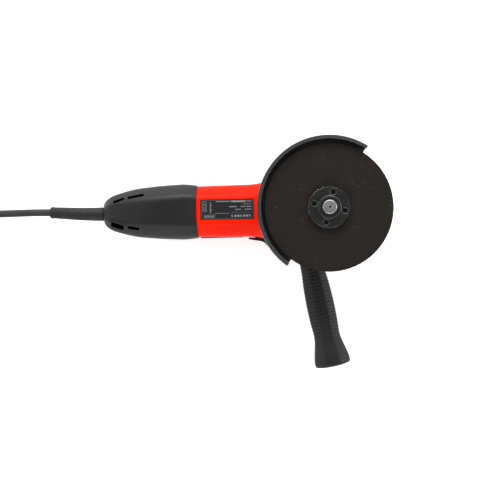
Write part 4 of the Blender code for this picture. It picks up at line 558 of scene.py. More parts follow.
CORNERS = [(side, level) for side in (-1, 1) for level in (-1, 1)]
TRACK_Y, TRACK_HALF = -26.8, 9.5
LABEL_HALF_X, LABEL_HALF_Y = 53.0 / 2, 20.0 / 2
LABEL_X, LABEL_Y, LABEL_Z = -99.5, 1.0, 57.4
LABEL_TOP = LABEL_Z + 0.5
MARK_HEIGHT = 0.06


def section(x, half_width, half_height, corner, bulge=0.0, inset=0.0):
    """A rounded rectangle across the motor's axis."""
    points = []
    half_width -= inset
    half_height -= inset
    power = SECTION_POWER
    full = (1.0 + corner ** -power) ** (1.0 / power)
    for i in range(SECTION_POINTS):
        angle = tau * (i + 0.5) / SECTION_POINTS
        y = abs(cos(angle)) / half_width
        z = abs(sin(angle)) / half_height
        total = y ** power + z ** power + ((y + z) / corner) ** power
        radius = total ** (-1.0 / power) * full
        py = radius * cos(angle)
        shift = bulge * max(0.0, 1.0 - (py / half_width) ** 2)
        points.append((x - shift, py, AXIS_Z + radius * sin(angle)))
    return points


def dense(stations, per_step, fade_from, fade_over, inset=0.0):
    """Smoothly refined sections; the joint's bulge fades out away from the seam."""
    loops = []
    steps = per_step * (len(stations) - 1)
    widest = max(s[1] for s in stations)
    highest = max(s[2] for s in stations)
    for k in range(steps + 1):
        x, w, h, corner = spread(stations, k / per_step)
        fade = max(0.0, 1.0 - abs(x - fade_from) / fade_over)
        loops.append(section(x, min(w, widest), min(h, highest), corner, SEAM_BULGE * fade, inset))
    return loops


def build_housing():
    shell = loft("motor_housing_shell", dense(HOUSING_STATIONS, 5, HOUSING_REAR_X, 14.0))
    rear = HOUSING_REAR_X - SPIGOT_L
    join(shell, x_rod("spigot", rear, HOUSING_REAR_X + 2.0, SPIGOT_R, 72))
    cut(shell, x_rod("bore", rear - 1, STATOR_SEAT_X + 1.1, REAR_BORE_R, 72),
        x_rod("seat", STATOR_SEAT_X, BAFFLE_X, STATOR_SEAT_R, 72),
        x_rod("fan_bore", BAFFLE_X, CUT_END_X, FAN_BORE_R, 72))
    track = prism("track", [(-82.0, -40.0), (-82.0, TRACK_Y - 0.8), (-81.2, TRACK_Y),
                            (CUT_END_X, TRACK_Y), (CUT_END_X, -40.0)],
                  AXIS_Z - TRACK_HALF, AXIS_Z + TRACK_HALF)
    reach_x, reach_y = LABEL_HALF_X + GAP, LABEL_HALF_Y + GAP
    pocket = box("pocket", (LABEL_X - reach_x, LABEL_Y - reach_y, LABEL_Z - GAP),
                 (LABEL_X + reach_x, LABEL_Y + reach_y, 63.0))
    cut(shell, track, pocket)
    holes = []
    for side, level in CORNERS:
        holes.append(x_rod("hole", -58.0, -47.0, CASE_SCREW_HOLE_R, 24,
                           side * CASE_SCREW_OFFSET, level * CASE_SCREW_OFFSET))
    holes.append(box("rod_channel", (rear - 1, -23.9, AXIS_Z - 4.0), (-59.0, -18.0, AXIS_Z + 4.0)))
    holes.append(box("window", (-72.3, -30.0, AXIS_Z - 3.5), (-60.7, -23.4, AXIS_Z + 3.5)))
    cut(shell, *holes)
    show(shell, "red_plastic", "motor_housing")

    trim = box("switch_rail_trim", (-127.0, -26.9, AXIS_Z - 6.5), (-84.5, -24.6, AXIS_Z + 6.5))
    bevel(trim, 0.35)
    grooves = []
    for k in range(9):
        x = -125.0 + 5.0 * k
        grooves.append(box("groove", (x - 0.5, -27.5, AXIS_Z - 7.5), (x + 0.5, -26.6, AXIS_Z + 7.5)))
    cut(trim, *grooves)
    show(trim, "inner_plastic")


def build_label():
    """The rating plate, with blank bars and frames where the real one is printed."""
    outline = rounded(LABEL_X - LABEL_HALF_X, LABEL_Y - LABEL_HALF_Y,
                      LABEL_X + LABEL_HALF_X, LABEL_Y + LABEL_HALF_Y, 1.2, 6)
    plate = prism("rating_label_plate", outline, LABEL_Z, LABEL_TOP)
    show(plate, "label", "rating_label")
    marks = []

    def bar(x0, y0, x1, y1):
        marks.append(box("mark", (LABEL_X + x0, LABEL_Y + y0, LABEL_TOP - 0.02),
                         (LABEL_X + x1, LABEL_Y + y1, LABEL_TOP + MARK_HEIGHT)))

    def frame_box(x0, y0, x1, y1, line=0.22):
        bar(x0, y0, x1, y0 + line)
        bar(x0, y1 - line, x1, y1)
        bar(x0, y0 + line, x0 + line, y1 - line)
        bar(x1 - line, y0 + line, x1, y1 - line)

    frame_box(-25.6, -9.2, 25.6, 9.2, 0.16)
    bar(4.0, 7.0, 18.5, 8.7)
    for x0, x1 in ((19.6, 24.4), (-11.0, 2.6)):
        bar(x0, 7.5, x1, 8.3)
    bar(15.6, 5.0, 24.2, 5.5)
    for row, (y, runs) in enumerate(((2.2, ((13.4, 18.0), (19.2, 24.2), (2.0, 9.6))),
                                     (-0.6, ((17.6, 24.2), (8.0, 13.6))),
                                     (-3.2, ((4.0, 24.2),)))):
        for x0, x1 in runs:
            bar(x0, y, x1, y + (0.9 if row < 2 else 0.2))
    for k in range(7):
        x = 4.2 + 2.9 * k
        bar(x, -7.6, x + (2.1 if k % 3 else 1.4), -5.4)
    bar(-12.0, -4.0, 2.2, -3.6)
    frame_box(-23.0, -8.2, -12.6, -5.2, 0.3)
    for k in range(4):
        bar(-21.9 + 2.3 * k, -7.2, -20.4 + 2.3 * k, -6.2)
    for y0 in (-2.0, 1.6, 5.2):
        frame_box(-24.2, y0, -20.4, y0 + 2.8, 0.42)
    for k in range(5):
        bar(-17.2, -3.4 + 2.3 * k, -16.4 + (0.9 if k % 2 else 0.3), -2.0 + 2.3 * k)
    show(merge("rating_label_marks", marks), "label_print", slot="label")


def rounded(x0, y0, x1, y1, radius, steps=5):
    points = []
    for cx, cy, start in ((x1 - radius, y1 - radius, 0.0), (x0 + radius, y1 - radius, 90.0),
                          (x0 + radius, y0 + radius, 180.0), (x1 - radius, y0 + radius, 270.0)):
        points += arc(radius, start, start + 90.0, steps, (cx, cy))
    return points


def vent(x0, x1, y, half, lean):
    outline = rounded(x0, y - half, x1, y + half, half * 0.8, 5)
    slot = prism("vent", outline, AXIS_Z + 4.0, AXIS_Z + 40.0)
    centre = Vector(((x0 + x1) / 2, y, 0.0)) * MM
    slot.data.transform(Matrix.Translation(centre) @ Matrix.Rotation(radians(lean), 4, "Z")
                        @ Matrix.Translation(-centre))
    return slot


def build_rear_covers():
    for name, side in (("rear_cover_left", -1), ("rear_cover_right", 1)):
        front = REAR_STATIONS[0][0]
        cover = loft(name + "_shell", dense(REAR_STATIONS, 5, front, 16.0))
        inner = dense(REAR_STATIONS[:-1], 3, front, 16.0, COVER_WALL)
        inner[0] = [(x + 3.0, y, z) for x, y, z in inner[0]]
        x, w, h, corner = REAR_STATIONS[-1]
        inner.append(section(x + COVER_WALL, w - 0.5, h - 0.5, corner))
        cut(cover, loft("hollow", inner))
        low, high = (0.06, 60.0) if side > 0 else (-60.0, -0.06)
        keep_inside(cover, box("half", (-240.0, low, -30.0), (-120.0, high, 90.0)))
        vents = [vent(*sizes) for sizes in VENTS[side]]
        cut(cover, x_rod("cord_hole", -229.0, -215.0, CORD_HOLE_R), *vents)
        if side < 0:
            for x, z in COVER_SCREWS:
                cut(cover, rod("head_hole", (x, COVER_SCREW_Y + GAP, z), (x, -40.0, z), 3.3, 32))
        show(cover, "black_plastic", name)
    for k, (x, z) in enumerate(COVER_SCREWS, 1):
        screw = cross_screw("rear_cover_screw_%d_fine" % k, 2.9, 2.4, 1.6, 23.0)
        along(screw, (x, COVER_SCREW_Y, z), (0, -1, 0))
        show(screw, "bright_steel", "rear_cover_screw_%d" % k)


def cross_screw(name, head_r, head_h, shank_r, shank_l, slot=False):
    """Pan head above z 0 with a cross or plain slot, and its shank below."""
    screw = turned(name, [
        (0.0, head_h), (head_r * 0.55, head_h - 0.05), (head_r * 0.85, head_h - 0.35),
        (head_r, head_h - 0.9), (head_r, 0.0), (shank_r, 0.0), (shank_r, -shank_l + 1.0),
        (shank_r * 0.5, -shank_l), (0.0, -shank_l)], 36)
    wide = head_r * 0.17
    reach = head_r * (1.2 if slot else 0.62)
    bars = [box("slot", (-reach, -wide, head_h - 1.1), (reach, wide, head_h + 1.0))]
    if not slot:
        bars.append(box("slot", (-wide, -reach, head_h - 1.1), (wide, reach, head_h + 1.0)))
    return cut(screw, *bars)


# --- gear head ---
CASE_R = 31.0
HANDLE_ROOT_X, HANDLE_ROOT_Y = -19.4, 34.0
HANDLE_TILT = 10.9  # degrees
HANDLE_BOSS_L = 16.0
STUD_HOLE_R = 4.3
LOCK_X = 10.0
LOCK_HEAD_R, LOCK_PIN_R = 8.0, 2.0
CASE_RIM_Z = 54.0  # where the bearing cover sits
COVER_SCREW_CIRCLE = 26.8
COVER_SCREW_ANGLES = (50.0, 130.0, 230.0, 310.0)
COVER_SCREW_SEAT_Z = 56.8
COVER_TOP, NECK_TOP, NECK_R = 60.0, 70.5, 21.0
BEARING_SEAT_R, BEARING_SEAT_Z = 16.3, 58.3


def case_outline(inset, rear_x):
    radius = CASE_R - inset
    nose = arc(radius, -100.0, 100.0, 72)
    shoulder_x = -CASE_R * 0.68
    half = 20.5 - inset
    bend = [(*nose[-1], 0.0), (shoulder_x, radius * 0.9, 0.0), (shoulder_x * 1.35, half + 3.0, 0.0),
            (shoulder_x * 1.7, half, 0.0), (rear_x, half, 0.0)]
    left = [tuple(spread(bend, k / 6.0)[:2]) for k in range(1, 6 * (len(bend) - 1) + 1)]
    right = [(x, -y) for x, y in reversed(left)]
    return nose + left + right


def casting(name, levels, rear_x):
    """A body of the case's outline; levels are (height, inset)."""
    return loft(name, [[(x, y, z) for x, y in case_outline(inset, rear_x)] for z, inset in levels])


def handle_seat(side):
    """Where a side handle meets the case, and the direction in which it points."""
    tilt = radians(HANDLE_TILT)
    face = Vector((HANDLE_ROOT_X, side * HANDLE_ROOT_Y, AXIS_Z))
    return face, Vector((sin(tilt), side * cos(tilt), 0.0))


def build_gear_case():
    levels = ((0.0, 5.0), (0.15, 3.9), (0.6, 2.9), (1.4, 1.9), (2.5, 1.0), (3.6, 0.4), (4.8, 0.05),
              (6.0, 0.0), (20.0, 0.0), (40.0, 0.0), (CASE_RIM_Z - 0.8, 0.0), (CASE_RIM_Z, 0.5))
    case = casting("gear_case_casting", levels, -45.0)
    flange = loft("flange", [section(x, CASE_R - i, CASE_R - i, 1.78)
                             for x, i in ((-48.0, 0.0), (-42.2, 0.0), (-41.4, 0.3), (-41.0, 1.0))])
    extra = [flange]
    for side in (-1, 1):
        face, out = handle_seat(side)
        end = HANDLE_BOSS_L - GAP
        boss = turned("boss", [(0.0, 0.0), (12.6, 0.0), (11.8, 9.0), (11.5, 14.6), (10.8, end),
                               (0.0, end)], 72)
        extra.append(along(boss, face - out * HANDLE_BOSS_L, out))
    extra.append(rod("pad", (LOCK_X, 0, 1.0), (LOCK_X, 0, 13.0), 10.3))
    for z in (20.0, 31.0, 42.0):
        for side in (-1, 1):
            extra.append(box("rib", (-41.5, side * 19.0, z - 1.1), (-20.0, side * 21.6, z + 1.1)))
    join(case, *extra)
    cut(case, turned("cavity", [
        (0.0, 55.0), (22.5, 55.0), (22.5, 6.0), (15.0, 6.0), (15.0, 21.0), (0.0, 21.0)], 72),
        x_rod("tunnel", -44.3, -8.0, 13.3),
        x_rod("recess", -49.0, -43.8, 24.0, 64))
    tools = [rod("button_pocket", (LOCK_X, 0, -1.0), (LOCK_X, 0, 10.5), LOCK_HEAD_R + 0.5, 64),
             rod("spring_pocket", (LOCK_X, 0, 9.5), (LOCK_X, 0, 22.0), 3.1, 24),
             rod("needle_hole", (0, 0, 11.7), (0, 0, 22.0), 5.8, 32)]
    for side in (-1, 1):
        for level in (-11.0, 0.0, 11.0):
            low, high = sorted((side * 18, side * 34))
            tools.append(box("exhaust", (-47.0, low, AXIS_Z + level - 3.0),
                             (-44.0, high, AXIS_Z + level + 3.0)))
        face, out = handle_seat(side)
        tools.append(rod("stud_hole", face - out * 14.0, face + out, STUD_HOLE_R, 36))
        for level in (-1, 1):
            tools.append(x_rod("hole", -49.0, -40.0, CASE_SCREW_HOLE_R, 24,
                               side * CASE_SCREW_OFFSET, level * CASE_SCREW_OFFSET))
    cut(case, *tools)
    show(case, "cast_alloy", "gear_case")
    for k, (side, level) in enumerate(CORNERS, 1):
        screw = cross_screw("gear_case_screw_%d_fine" % k, 3.1, 3.0, 1.7, 16.0, True)
        where = (-40.7, side * CASE_SCREW_OFFSET, AXIS_Z + level * CASE_SCREW_OFFSET)
        along(screw, where, (1, 0, 0))
        show(screw, "black_steel", "gear_case_screw_%d" % k)


def build_bearing_cover():
    levels = ((CASE_RIM_Z + GAP, 0.6), (54.9, 0.0), (58.4, 0.0), (59.2, 0.35), (59.75, 0.95),
              (COVER_TOP, 1.8))
    cover = casting("bearing_cover_casting", levels, -40.7)
    join(cover, rod("spigot", (0, 0, 48.0), (0, 0, 55.3), 22.2, 64),
         turned("neck", [(0.0, 59.0), (22.6, 59.0), (22.6, 60.1), (21.4, 60.5), (NECK_R, 61.2),
                         (NECK_R, NECK_TOP - 0.5), (NECK_R - 0.5, NECK_TOP), (0.0, NECK_TOP)], 96))
    cut(cover, turned("bores", [
        (0.0, 71.5), (14.0, 71.5), (14.0, BEARING_SEAT_Z), (BEARING_SEAT_R, BEARING_SEAT_Z),
        (BEARING_SEAT_R, 47.0), (0.0, 47.0)], 64))
    places = [polar(COVER_SCREW_CIRCLE, angle) for angle in COVER_SCREW_ANGLES]
    hole = [(0.0, 61.0), (3.3, 61.0), (3.3, COVER_SCREW_SEAT_Z), (2.3, COVER_SCREW_SEAT_Z),
            (2.3, 46.0), (0.0, 46.0)]
    cut(cover, *[place(turned("hole", hole, 32), (x, y, 0.0)) for x, y in places])
    show(cover, "cast_alloy", "bearing_cover")
    for k, (x, y) in enumerate(places, 1):
        screw = cross_screw("cover_screw_%d_fine" % k, 3.0, 2.4, 2.0, 13.2)
        place(screw, (x, y, COVER_SCREW_SEAT_Z + 0.4), 40.0 * k - 15.0)
        show(screw, "black_steel", "cover_screw_%d" % k)


def build_lock_button():
    button = turned("lock_button_fine", [
        (0.0, 34.2), (1.6, 34.2), (LOCK_PIN_R, 33.8), (LOCK_PIN_R, 4.0), (LOCK_HEAD_R, 4.0),
        (LOCK_HEAD_R, 1.7), (7.8, 1.2), (7.2, 0.85), (6.0, 0.8), (5.2, 0.8), (4.9, 1.1), (3.9, 1.1),
        (3.6, 0.8), (0.0, 0.8)], 64)
    place(button, (LOCK_X, 0.0, 0.0))
    show(button, "black_plastic", "lock_button", body="lock")


# --- spindle, flanges, disc and guard ---
TIP_Z = 97.5
THREAD_R, THREAD_PITCH, THREAD_DEPTH = 7.0, 2.0, 1.1
THREAD_LOW, THREAD_HIGH = 84.5, 96.7
FLANGE_SEAT_Z = 73.5
FLANGE_R, NUT_R, NUT_FACE_Z = 20.5, 20.0, 91.8
NUT_HOLE_CIRCLE, NUT_HOLE_ANGLE = 15.0, 76.0
DISC_R, DISC_RIM_R, DISC_BORE_R = 62.5, 60.0, 11.11
DISC_LOW, DISC_TOP = 84.1, 86.6
GUARD_OPEN = (233.1, 416.6)  # degrees; no plate or rim here
CLAMP_ANGLE = -60.0
CLAMP_LOW, CLAMP_TOP = 61.6, 69.6
CLAMP_SCREW_X, CLAMP_SCREW_Z = 30.5, 65.6


def build_spindle():
    def thread(angle, radius, height):
        if radius < THREAD_R - 0.1 or not THREAD_LOW < height < THREAD_HIGH:
            return radius
        turn = (height / THREAD_PITCH - angle / tau) % 1.0
        return radius - THREAD_DEPTH * (1.0 - abs(2.0 * turn - 1.0))

    profile = [(0.0, TIP_Z - 2.0), (0.9, TIP_Z - 1.6), (0.9, TIP_Z), (5.9, TIP_Z), (6.4, 97.1),
               (6.95, THREAD_HIGH)]
    profile += [(THREAD_R, 96.6 - THREAD_PITCH / 16.0 * k) for k in range(97)]
    profile += [(THREAD_R, FLANGE_SEAT_Z), (10.0, FLANGE_SEAT_Z), (10.0, BEARING_SEAT_Z),
                (6.0, BEARING_SEAT_Z), (6.0, 46.8), (5.5, 46.8), (5.5, 21.5), (3.5, 21.5), (3.5, 12.3),
                (0.0, 12.3)]
    spindle = turned("spindle_fine", profile, 96, thread)
    show(spindle, "faced_steel", "spindle", body="spindle", slot="bright_steel", angle=40.0)

    bore = THREAD_R + GAP
    foot = FLANGE_SEAT_Z + GAP
    flange = turned("inner_flange_fine", [
        (bore, 86.0), (10.4, 86.0), (10.81, 85.6), (10.81, 83.8), (20.1, 83.8), (FLANGE_R, 83.4),
        (FLANGE_R, 80.2), (20.1, 79.6), (15.4, 74.1), (14.9, foot), (bore, foot)], 96)
    show(flange, "black_steel", "inner_flange", body="spindle")

    nut = turned("flange_nut_fine", [
        (8.4, 94.8), (10.3, 94.8), (10.75, 94.6), (11.0, 94.2), (11.0, 92.3), (11.25, 91.95),
        (11.8, NUT_FACE_Z), (18.9, NUT_FACE_Z), (19.5, 91.65), (19.85, 91.3), (NUT_R, 90.8),
        (NUT_R, 87.3), (19.7, 86.9), (11.2, 86.9), (11.2, 88.1), (bore, 88.1), (bore, 93.8)], 120)
    hole = [(0.0, 92.8), (3.1, 92.8), (3.1, NUT_FACE_Z), (2.5, NUT_FACE_Z - 0.5), (2.5, 88.3),
            (0.0, 88.3)]
    places = [polar(NUT_HOLE_CIRCLE, NUT_HOLE_ANGLE + 90.0 * k) for k in range(4)]
    cut(nut, *[place(turned("hole", hole, 40), (x, y, 0.0)) for x, y in places])
    show(nut, "black_steel", "flange_nut", body="spindle")


def build_disc():
    def uneven(angle, radius, height):
        if radius < DISC_RIM_R:
            return radius
        return radius - 0.10 * abs(sin(37.0 * angle) * sin(23.0 * angle + 1.3))

    disc = turned("abrasive_disc_fine", [
        (DISC_BORE_R, DISC_TOP), (20.9, DISC_TOP), (21.4, 86.5), (DISC_RIM_R, 86.5),
        (DISC_R - 0.3, 86.5), (DISC_R, 86.3), (DISC_R, 84.4), (DISC_R - 0.3, 84.2),
        (DISC_RIM_R, DISC_LOW), (DISC_BORE_R, DISC_LOW)], 240, uneven)
    show(disc, "abrasive", "abrasive_disc", body="spindle")
    ring = turned("disc_bore_ring", [
        (10.95, DISC_TOP + 0.02), (20.2, DISC_TOP + 0.02), (20.2, DISC_TOP - 0.05),
        (10.95, DISC_TOP - 0.05)], 96)
    show(ring, "bright_steel", body="spindle")


def build_guard():
    guard = turned("wheel_guard_pressing", [
        (21.3, 72.8), (67.2, 72.8), (68.0, 73.2), (68.2, 74.0), (68.2, 89.6), (67.9, 90.1),
        (66.7, 90.2), (66.4, 90.4), (66.4, 91.6), (66.7, 91.95), (69.0, 92.0), (69.7, 91.7),
        (70.0, 91.0), (70.0, 88.0), (70.0, 80.0), (70.0, 73.4), (69.7, 72.2), (69.0, 71.4),
        (68.0, 71.0), (55.0, 71.0), (54.0, 70.6), (44.0, 70.6), (43.0, 71.0), (24.4, 71.0),
        (23.4, 70.7), (23.1, 70.0), (23.1, 60.6), (21.3, 60.6)], 240)
    start, end = GUARD_OPEN
    wedge = arc(78.0, start, end, 48) + arc(29.1, end, start, 48)
    cut(guard, prism("open_sector", wedge, 59.6, 93.0))
    show(guard, "guard_steel", "wheel_guard", body="guard")

    band = turned("clamp_band", [
        (23.4, CLAMP_TOP), (24.7, CLAMP_TOP), (25.0, CLAMP_TOP - 0.3), (25.0, CLAMP_LOW + 0.3),
        (24.7, CLAMP_LOW), (23.4, CLAMP_LOW)], 96)
    ears = box("ears", (24.0, -5.0, CLAMP_LOW), (35.0, 5.0, CLAMP_TOP))
    bevel(ears, 0.8, 3)
    slot = box("slot", (21.4, -2.0, CLAMP_LOW - 1.0), (36.0, 2.0, CLAMP_TOP + 1.0))
    hole = rod("hole", (CLAMP_SCREW_X, -8.0, CLAMP_SCREW_Z), (CLAMP_SCREW_X, 8.0, CLAMP_SCREW_Z),
               2.3, 32)
    for piece in (ears, slot, hole):
        place(piece, (0.0, 0.0, 0.0), CLAMP_ANGLE)
    join(band, ears)
    cut(band, slot, hole)
    show(band, "bright_steel", "guard_clamp_band", body="guard")

    def hexagon(angle, radius, height):
        if radius < 3.5 or height > 0.0:
            return radius
        return radius / cos((angle % (pi / 3.0)) - pi / 6.0) * 0.9

    screw = turned("clamp_screw_fine", [
        (0.0, 9.0), (2.4, 9.0), (3.1, 8.6), (3.4, 7.9), (3.4, 5.3), (2.0, 5.3), (2.0, -5.3),
        (3.6, -5.3), (3.6, -8.2), (3.4, -8.5), (0.0, -8.5)], 36, hexagon)
    along(screw, (CLAMP_SCREW_X, 0.0, CLAMP_SCREW_Z), (0, -1, 0))
    place(screw, (0.0, 0.0, 0.0), CLAMP_ANGLE)
    show(screw, "black_steel", "guard_clamp_screw", body="guard")


# --- slide switch and side handle ---
def build_slide_button():
    side_view = [(-79.0, -27.1), (-57.0, -27.1), (-56.6, -33.5), (-56.9, -35.3), (-57.4, -36.4),
                 (-58.1, -36.95), (-58.9, -36.9), (-59.8, -35.9), (-61.4, -33.9), (-63.5, -32.2),
                 (-65.2, -31.4), (-67.0, -30.9), (-73.0, -29.9), (-78.2, -28.9), (-79.0, -28.3)]
    half = TRACK_HALF - 0.5
    button = prism("slide_button_fine", side_view, AXIS_Z - half, AXIS_Z + half)
    bevel(button, 0.7, 3, 50.0)
    grooves = []
    for k in range(5):
        x = -77.0 + 2.2 * k
        y = -29.05 - (x + 78.2) * 0.18
        grooves.append(rod("groove", (x, y, AXIS_Z - 7.0), (x, y, AXIS_Z + 7.0), 0.45, 16))
    cut(button, *grooves)
    join(button, box("tongue", (-72.0, -27.5, AXIS_Z - 3.0), (-68.0, -23.9, AXIS_Z + 3.0)))
    show(button, "black_plastic", "slide_button", body="switch")


HANDLE_PROFILE = (
    (0.0, 17.0), (1.5, 19.5), (5.0, 20.0), (7.0, 18.5), (12.0, 13.6), (20.0, 12.6),
    (31.0, 12.9), (42.0, 13.9), (61.0, 14.8), (80.0, 14.6), (95.0, 13.8), (101.0, 14.4),
    (107.0, 15.8), (113.0, 17.3), (119.0, 18.6), (123.5, 18.9), (126.0, 17.6), (127.0, 14.0),
)
HANDLE_LENGTH = HANDLE_PROFILE[-1][0]
HANDLE_COLLAR_R = 20.0
STUD_HOLE_L = 22.6
GROOVE_FROM, GROOVE_TO, GROOVE_PITCH = 18.0, 97.0, 3.6
GROOVE_HALF, GROOVE_DEPTH = 0.6, 0.45


def handle_radius(s):
    """The grip's radius at a distance s from the boss."""
    k = next(i for i, (end, _) in enumerate(HANDLE_PROFILE[1:]) if s <= end)
    start, end = HANDLE_PROFILE[k][0], HANDLE_PROFILE[k + 1][0]
    return min(HANDLE_COLLAR_R, spread(HANDLE_PROFILE, k + (s - start) / (end - start))[1])


def build_handle():
    stops = [0.0, 0.5, 1.0, 1.5, 2.5, 3.5, 4.5, 5.0, 5.5, 6.0, 6.5, 7.0, 8.0, 9.0, 10.0, 11.0,
             12.0, 13.5, 15.0, 16.5]
    s = GROOVE_FROM
    while s < GROOVE_TO:
        stops += [s, s + 0.25, s + GROOVE_HALF, s + 0.95, s + 2 * GROOVE_HALF, s + 2.4]
        s += GROOVE_PITCH
    stops += [s, s + 2.0] + [102.0 + 1.5 * k for k in range(14)]
    stops += [123.5, 124.3, 125.0, 125.6, 126.1, 126.5, 126.8, HANDLE_LENGTH]
    stops = sorted(set(round(v, 3) for v in stops if v <= HANDLE_LENGTH))

    def groove(s):
        if not GROOVE_FROM <= s <= GROOVE_TO + GROOVE_PITCH:
            return 0.0
        t = (s - GROOVE_FROM) % GROOVE_PITCH
        return GROOVE_DEPTH * max(0.0, 1.0 - abs(t - GROOVE_HALF) / GROOVE_HALF) ** 0.7

    def facets(angle, radius, height):
        if radius < 8.0:
            return radius
        fade = min(1.0, max(0.0, (height - 9.0) / 8.0))
        fade *= min(1.0, max(0.0, (HANDLE_LENGTH - height) / 3.0))
        step = pi / 4.0
        t = ((angle + step * 0.5) % step) - step * 0.5
        octagon = cos(step * 0.5) / cos(t)
        gap = (1.0 - octagon) * 0.6 * fade
        return radius * (1.0 - gap) - groove(height)

    profile = [(0.0, HANDLE_LENGTH)] + [(handle_radius(s), s) for s in reversed(stops)]
    profile += [(STUD_HOLE_R, 0.0), (STUD_HOLE_R, STUD_HOLE_L), (0.0, STUD_HOLE_L)]
    grip = place(turned("handle_grip_fine", profile, 128, facets), (0.0, 0.0, 0.0), HANDLE_TILT)
    along(grip, *handle_seat(-1))
    show(grip, "grip_plastic", "handle_grip", slot="black_plastic", angle=38.0)
    washer = turned("handle_washer", [
        (4.4, 0.0), (11.0, 0.0), (11.3, -0.05), (11.3, -0.22), (4.4, -0.22)], 72)
    along(washer, *handle_seat(-1))
    show(washer, "bright_steel")


# --- cord, strain relief and plug ---
CORD_R = 3.7
SLEEVE_POINTS = (
    (-224.9, -0.2, 31.0), (-236.0, -0.1, 30.9), (-250.0, 0.5, 30.0),
    (-264.0, 1.4, 28.2), (-280.0, 2.6, 24.6),
)
CORD_ROUTE = (
    (-280.3, 2.6, 24.5), (-292.0, 2.9, 21.2), (-304.0, 3.1, 17.1),
    (-316.0, 3.1, 12.7), (-328.0, 3.1, 8.6), (-340.0, 3.1, 5.7),
    (-350.0, 3.0, 4.5), (-360.0, 3.0, 4.2), (-373.4, 3.0, 4.2),
)
COIL_CENTRE = (-403.0, -52.5)
COIL_TURN_R = (33.0, 40.5, 48.0, 55.5)
COIL_LOW_Z, COIL_HIGH_Z = 4.3, 11.8
COIL_START, COIL_END = 90.0, 90.0 + 7.25 * 360.0
STEP_ANGLE = 240.0  # over which a turn moves to the next radius
RISE_ANGLE = 110.0  # over which the cord climbs to the top layer
PLUG_Z = 13.0
PLUG_SLEEVE_R = 5.2


def ease(t):
    t = min(1.0, max(0.0, t))
    return t * t * (3.0 - 2.0 * t)


def coil_point(angle):
    """Bottom layer inwards, a rise at the inner turn, and the top layer outwards."""
    turns = len(COIL_TURN_R)
    pitch = COIL_TURN_R[1] - COIL_TURN_R[0]
    top_start = COIL_START + 360.0 * turns
    radius = COIL_TURN_R[-1]
    for k in range(1, turns):
        radius -= pitch * ease((angle - COIL_START - 360.0 * k) / STEP_ANGLE)
        radius += pitch * ease((angle - top_start - 360.0 * (k - 1)) / STEP_ANGLE)
    rise = ease((angle - top_start + RISE_ANGLE) / RISE_ANGLE)
    x, y = polar(radius, angle)
    return (COIL_CENTRE[0] + x, COIL_CENTRE[1] + y,
            COIL_LOW_Z + (COIL_HIGH_Z - COIL_LOW_Z) * rise)


def plug_places():
    """The x of the plug and the y where its sleeve begins, clear of the coil."""
    r_out = COIL_TURN_R[-1] + CORD_R + GAP
    x = COIL_CENTRE[0] - COIL_TURN_R[-1]
    chord = sqrt(r_out ** 2 - (COIL_TURN_R[-1] - PLUG_SLEEVE_R) ** 2)
    return x, COIL_CENTRE[1] - chord - GAP


def build_cord():
    path = [tuple(p) for p in smooth_path(CORD_ROUTE, 4.0)]
    path += [(-380.0, 3.0, 4.25), (-387.5, 3.0, COIL_LOW_Z), (-395.0, 3.0, COIL_LOW_Z)]
    steps = round((COIL_END - COIL_START) / 6.0)
    path += [coil_point(COIL_START + (COIL_END - COIL_START) * k / steps) for k in range(steps + 1)]
    x, sleeve_y = plug_places()
    end = path[-1]
    for k in range(1, 9):
        t = k / 8.0
        y = end[1] + (sleeve_y + 0.2 - end[1]) * t
        path.append((x, y, end[2] + (PLUG_Z - end[2]) * ease(t)))
    length = sum((Vector(a) - Vector(b)).length for a, b in zip(path, path[1:]))
    cord = tube("mains_cord", path, CORD_R, 5)
    show(cord, "cord_rubber", "power_cord", "cord_coil")
    return cord, path, length


def build_tie():
    """A strap once round the coil's windings."""
    half_width, thick = 4.0, 0.5
    r_in, r_out = COIL_TURN_R[0] - CORD_R - 0.5, COIL_TURN_R[-1] + CORD_R - 0.1
    low, high = 0.05, COIL_HIGH_Z + CORD_R
    mid_r, mid_z = (r_in + r_out) / 2, (low + high) / 2
    outline = rounded(r_in - 0.05, low, r_out + 0.05, high + 0.55, 3.6, 8)
    loops = []
    for inset, y in ((0.0, -half_width), (0.0, half_width), (thick, half_width), (thick, -half_width)):
        shrink_r = 1.0 - inset / (r_out - r_in) * 2.0
        shrink_z = 1.0 - inset / (high - low) * 2.0
        loops.append([(mid_r + (r - mid_r) * shrink_r, y, mid_z + (z - mid_z) * shrink_z)
                      for r, z in outline])
    tie = loft("coil_tie", loops, closed=True)
    place(tie, (*COIL_CENTRE, 0.0), -62.0)
    show(tie, "inner_plastic")
    return tie


def build_sleeve():
    points = smooth_path(SLEEVE_POINTS, 0.7)
    loops = []
    total = len(points) - 1
    for k, point in enumerate(points):
        ahead = points[min(k + 1, total)] - points[max(k - 1, 0)]
        turn = Vector((-1, 0, 0)).rotation_difference(ahead).to_matrix()
        share = k / total
        radius = 7.0 - 1.3 * share
        if k == 0 or k == total:
            radius -= 0.5
        if share > 0.93:
            radius += 0.25 * sin((share - 0.93) / 0.07 * pi)
        loops.append([point + turn @ Vector((0.0, radius * cos(a), radius * sin(a)))
                      for a in [tau * i / 48 for i in range(48)]])
    sleeve = loft("strain_relief_fine", loops)
    join(sleeve, x_rod("neck", -225.8, -212.3, 5.0), x_rod("collar", -221.6, -219.1, 8.0))
    show(sleeve, "rubber", "strain_relief")


